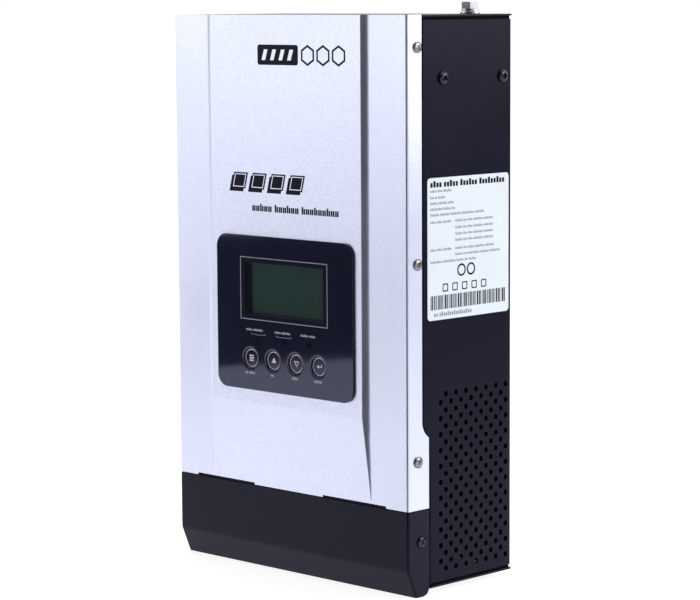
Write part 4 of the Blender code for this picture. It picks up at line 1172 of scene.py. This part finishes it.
def capacitors():
    """Sleeved can with a crimp groove, and an aluminium top scored with a cross."""
    low, high = face_box("capacitor_left")
    tall, radius = high.y - low.y, (high.x - low.x) / 2
    can = turned(filleted([
        (0, 0), (radius, 0, 0.5 * MM), (radius, 3 * MM, 0.8 * MM),
        (radius - 0.9 * MM, 4 * MM, 0.5 * MM), (radius, 5 * MM, 0.8 * MM),
        (radius, tall, 0.7 * MM), (radius - 1.6 * MM, tall, 0.1 * MM),
        (radius - 1.7 * MM, tall - 0.4 * MM, 0), (0, tall - 0.4 * MM),
    ], 5), 64)
    edge, low, high = radius - 1.8 * MM, tall - 0.5 * MM, tall - 0.1 * MM
    disc = turned(filleted([(0, low), (edge, low, 0), (edge, high, 0.1 * MM), (0, high)], 3), 64)
    score, reach = mm(-0.25, 0.25), mm(-6, 6)
    span = (tall - 0.3 * MM, tall + 1 * MM)
    scores = [boxes([(*sides, span)]) for sides in ((reach, score), (score, reach))]
    top = worked(disc, cutters=scores)
    for word in SIDES:
        name = f"capacitor_{word}"
        put(f"{name}_sleeve", facing_front(can, name), "sleeve", "capacitor_sleeve",
            [name])
        put(f"{name}_top", facing_front(top, name), "can_top", "capacitor_sleeve")


def boards():
    """Both boards with their solder mask, and rows of soldered parts on the main one."""
    for name in ("main_board", "display_board"):
        put_copy(name, "panel", 0.15 * MM, "board", "board_green")
    front = face_box("main_board")[1].y - 1.6 * MM
    chips = []
    for row, z in enumerate((98, 112, 190, 206)):
        for i in range(9):
            x = (-72 + i * 18 + 5 * (row % 2)) * MM
            half = (4.2 if (i + row) % 3 == 0 else 2.4) * MM
            chips.append((about(x, half), (front - 1.5 * MM, front - 0.05 * MM),
                          (z * MM, z * MM + 1.3 * half)))
    put("main_board_chips", worked(boxes(chips), rim=0.2 * MM), "chip", "board_green")
    leads = []
    for x, depth, z in chips:
        thick = (depth[1] - 0.35 * MM, depth[1] - 0.02 * MM)
        for i in range(4):
            across = x[0] + (x[1] - x[0]) * (i + 0.5) / 4
            wide = about(across, 0.25 * MM)
            leads.append((wide, thick, (z[0] - 0.9 * MM, z[0])))
            leads.append((wide, thick, (z[1], z[1] + 0.9 * MM)))
    put("main_board_leads", boxes(leads), "zinc", "board_green")


def plain_parts():
    """Ribbon cable, small switches and heat sink."""
    put("ribbon_cable_sleeve", cad_copy("display_ribbon_cable"), "ribbon", "ribbon_grey",
        ["display_ribbon_cable"])
    for word in KEYS:
        put_copy(f"tact_switch_{word}", "body", 0.15 * MM, "grey_plastic", "grey_plastic")
    put_copy("heat_sink", "extrusion", 0.25 * MM, "aluminium", "bare_aluminium")


def terminals():
    put_copy("terminal_block", "body", 0.3 * MM, "terminal", "terminal_green")
    screw = pan_head_screw(*mm(3.8, 1.8, 2.4, 6))
    for i in range(1, 5):
        name = f"terminal_screw_{i}"
        low, high = face_box(name)
        place = Matrix.Translation(((low.x + high.x) / 2, low.y + 1.8 * MM, (low.z + high.z) / 2))
        shape = moved(screw, place, Matrix.Rotation(pi / 2, 4, "X"),
                      Matrix.Rotation(radians(25 * i), 4, "Z"))
        put(f"{name}_finished", shape, "zinc", "bright_zinc", [name])


def fan_frames():
    """Square frames with corner holes, a flared bore and four struts to the motor seat."""
    for word in SIDES:
        name = f"fan_frame_{word}"
        low, high = face_box(name)
        middle = (low + high) / 2
        body = prisms([rounded((low.x, high.x), (low.y, high.y), 4 * MM)], "Z", (low.z, high.z))
        bore = filleted([
            (0, low.z - 1 * MM), (24.6 * MM, low.z - 1 * MM, 0), (24.4 * MM, low.z, 0),
            (23.7 * MM, low.z + 2.5 * MM, 3 * MM), (23.7 * MM, high.z - 2.5 * MM, 3 * MM),
            (24.4 * MM, high.z, 0), (24.6 * MM, high.z + 1 * MM, 0), (0, high.z + 1 * MM),
        ], 5)
        axis = Matrix.Translation((middle.x, middle.y, 0))
        reach = FAN_HOLE_OFFSET
        holes = [circle((middle.x + a * reach, middle.y + b * reach), 2 * MM, 24)
                 for a in (-1, 1) for b in (-1, 1)]
        cutters = [moved(turned(bore, 72), axis),
                   prisms(holes, "Z", (low.z - 1 * MM, high.z + 1 * MM))]
        shell = worked(body, cutters=cutters, rim=0.3 * MM)
        foot = low.z + 0.2 * MM
        beams = []
        for x, y in (mm(24, 1.2), mm(1.2, 24)):
            beam = (about(middle.x, x), about(middle.y, y), (foot, foot + 1.8 * MM))
            beams.append(boxes([beam]))
        under, over = foot - 0.1 * MM, foot + 2.4 * MM
        disc = [(0, under), (11 * MM, under, 0.4 * MM), (11 * MM, over, 0.4 * MM), (0, over)]
        seat = moved(turned(filleted(disc), 64), axis)
        put(f"{name}_shell", merged(shell, worked(seat, joined=beams)), "fan",
            "fan_black", [name])


def fan_blade(number):
    """One twisted blade, thickened and rounded."""
    rows = []
    for i in range(9):
        radius = (10.9 + 12 * i / 8) * MM
        half = radians(14 + 3 * i / 8)
        row = []
        for chord in range(9):
            t = chord / 8
            a = 2 * pi * number / FAN_BLADES + half * (2 * t - 1)
            lift = (4.2 + 8.4 * (t * 0.55 + 0.45 * t * t)) * MM
            row.append((radius * cos(a), radius * sin(a), lift))
        rows.append(row)
    blade = linked("blade", grid_mesh(rows))
    modified(blade, "SOLIDIFY", thickness=1.1 * MM, offset=0)
    modified(blade, "BEVEL", width=0.35 * MM, segments=3)
    return applied(blade)


def fan_rotors():
    """Curved blades round a hub with a sticker on top."""
    hub = turned(filleted([
        mm(0, 3.2), mm(11.5, 3.2, 0.5), mm(11.5, 13.6, 1.2), mm(0, 13.6),
    ]), 64)
    rotor = merged(hub, *[fan_blade(i) for i in range(FAN_BLADES)])
    sticker = turned(filleted([
        mm(0, 13.55), mm(8.6, 13.55, 0), mm(8.6, 13.75, 0.06), mm(0, 13.75),
    ], 3), 48)
    for word in SIDES:
        name, body = f"fan_rotor_{word}", f"{word}_fan"
        middle = face_middle(name)
        foot = face_box(f"fan_frame_{word}")[0].z
        place = Matrix.Translation((middle.x, middle.y, foot))
        put(f"{name}_blades", moved(rotor, place), "fan", "fan_black", [name], body)
        put(f"{name}_sticker", moved(sticker, place), "sticker", "fan_black", body=body)


def cable_entry():
    """Grooved grommets with soft edges, and the socket with its eight contacts."""
    low, high = face_box("cable_grommet_1")
    radius = (high.x - low.x) / 2
    panel_low = face_box("bottom_panel")[0].z
    groove_low, groove_high = panel_low - GAP, panel_low + SHEET + GAP
    section = [
        mm(8, 0, 0.9), (radius, 0, 1.1 * MM), (radius, groove_low, 0.5 * MM),
        (10.3 * MM, groove_low, 0.1 * MM), (10.3 * MM, groove_high, 0.1 * MM),
        (12.4 * MM, groove_high, 0.4 * MM), (11.6 * MM, high.z, 0.9 * MM),
        (8 * MM, high.z, 0.9 * MM),
    ]
    grommet = turned(filleted(section, 5, closed=True), 72, closed=True)
    for i in range(1, 5):
        name = f"cable_grommet_{i}"
        middle = face_middle(name)
        shape = moved(grommet, Matrix.Translation((middle.x, middle.y, 0)))
        put(f"{name}_rubber", shape, "rubber", "grommet_rubber", [name])
    put_copy("communication_socket", "body", 0.2 * MM, "grey_plastic", "grey_plastic")
    middle = face_middle("communication_socket")
    depth = middle.y + 4.15 * MM
    contacts = []
    for i in range(8):
        x = middle.x + (i - 3.5) * CONTACT_PITCH
        wide = about(x, 0.25 * MM)
        contacts.append((wide, (depth - 0.5 * MM, depth), mm(7, 16.8)))
    put("communication_socket_contacts", worked(boxes(contacts), rim=0.08 * MM), "zinc",
        "grey_plastic")


# ---------------------------------------------------------------- studio


def camera():
    """Front right of the object, slightly above it, with a long lens."""
    yaw, pitch, roll = [radians(angle) for angle in CAMERA_TURN]
    forward = Vector((-sin(yaw) * cos(pitch), cos(yaw) * cos(pitch), -sin(pitch)))
    level = Vector((cos(yaw), sin(yaw), 0))
    upright = level.cross(forward)
    right = level * cos(roll) + upright * sin(roll)
    up = upright * cos(roll) - level * sin(roll)
    data = bpy.data.cameras.new("camera")
    data.lens = CAMERA_LENS
    data.sensor_width = 36
    data.clip_end = 400
    made = linked("camera", data)
    turn = Matrix((right, up, -forward)).transposed()
    made.matrix_world = Matrix.Translation(CAMERA_PLACE) @ turn.to_4x4()
    bpy.context.scene.camera = made


def area_light(name, place, target, width, height, power):
    data = bpy.data.lights.new(name, "AREA")
    data.shape = "RECTANGLE"
    data.size = width
    data.size_y = height
    data.energy = power
    made = linked(name, data)
    made.location = place
    made.rotation_euler = (Vector(target) - Vector(place)).to_track_quat("-Z", "Y").to_euler()
    made.visible_camera = False


def stage_piece(name, bm, colour, glow=0.0):
    made = linked(name, mesh_from(bm))
    look = finish(name, colour, 0.85, grain=60, spread=0.01, cloud=1, cloud_spread=0.01)
    shader = look.node_tree.nodes["Principled BSDF"]
    shader.inputs["Emission Color"].default_value = (1, 1, 1, 1)
    shader.inputs["Emission Strength"].default_value = glow
    made.data.materials.append(look)
    return made


def surroundings():
    """Pale all round from the left over the back to the right, and dark before the front."""
    world = bpy.data.worlds.new("studio")
    bpy.context.scene.world = world
    world.use_nodes = True
    tree = world.node_tree
    place = node(tree, "TexCoord")
    axes = node(tree, "SeparateXYZ")
    tree.links.new(place.outputs["Generated"], axes.inputs[0])
    limits = {"From Min": -0.35, "From Max": 0.35, "To Min": 0.02, "To Max": 1.0}
    ramp = node(tree, "MapRange", limits, interpolation_type="SMOOTHSTEP")
    tree.links.new(axes.outputs["Y"], ramp.inputs["Value"])
    tree.links.new(ramp.outputs[0], tree.nodes["Background"].inputs["Strength"])
    tree.nodes["Background"].inputs["Color"].default_value = (1, 1, 1, 1)


def unseen(made):
    """Shows only in reflections."""
    made.visible_camera = False
    made.visible_shadow = False


def dark_screen(name, line, height):
    """A dark upright screen over a line on the floor."""
    bm = bmesh.new()
    low = lifted(bm, line, "Z", 0.001)
    high = lifted(bm, line, "Z", height)
    for i in range(len(line) - 1):
        bm.faces.new((low[i], low[i + 1], high[i + 1], high[i]))
    unseen(stage_piece(name, bm, (0.01, 0.01, 0.012)))


def studio():
    surroundings()
    bm = bmesh.new()
    bmesh.ops.create_circle(bm, cap_ends=True, segments=96, radius=90)
    stage_piece("floor", bm, (0.36, 0.36, 0.36), 0.86)

    dark_screen("left_screen", [(-0.71, -0.59), (-0.595, -0.85)], 0.13)
    dark_screen("front_screen", [(-0.32, -0.98), (0.35, -1.05), (0.9, -0.75)], 0.55)
    dark_screen("rear_screen", [(-0.1, 1.3), (0.75, 1.05), (1.1, 0.6), (1.25, 0)], 0.3)
    bm = bmesh.new()
    mat = [(0.02, -0.16), (-0.3, -1.02), (0.35, -1.05), (0.9, -0.75), (0.3, -0.15)]
    bm.faces.new(lifted(bm, mat, "Z", 0.002))
    unseen(stage_piece("dark_mat", bm, (0.01, 0.01, 0.012)))

    area_light("overhead", (0, 0, 2.6), (0, 0, 0), 3, 3, 22)
    area_light("key", (-3.4, -3.6, 1.72), (0, 0, 0.15), 3.9, 2.9, 63)
    area_light("rim", (1.9, 1.5, 0.85), (0.1, 0, 0.1), 1.4, 0.9, 24)
    bpy.context.scene.view_settings.view_transform = "Standard"


def build():
    front_cover()
    terminal_cover()
    side_panels()
    plain_panels()
    case_screws()
    earthing_bolt()
    display_film()
    cover_prints()
    film_prints()
    keys()
    screen()
    lamps()
    rating_label()
    inductors()
    capacitors()
    boards()
    plain_parts()
    terminals()
    fan_frames()
    fan_rotors()
    put_copy("fan_tray", "sheet", 0.15 * MM, "tray", "bare_aluminium")
    cable_entry()


build()
camera()
studio()
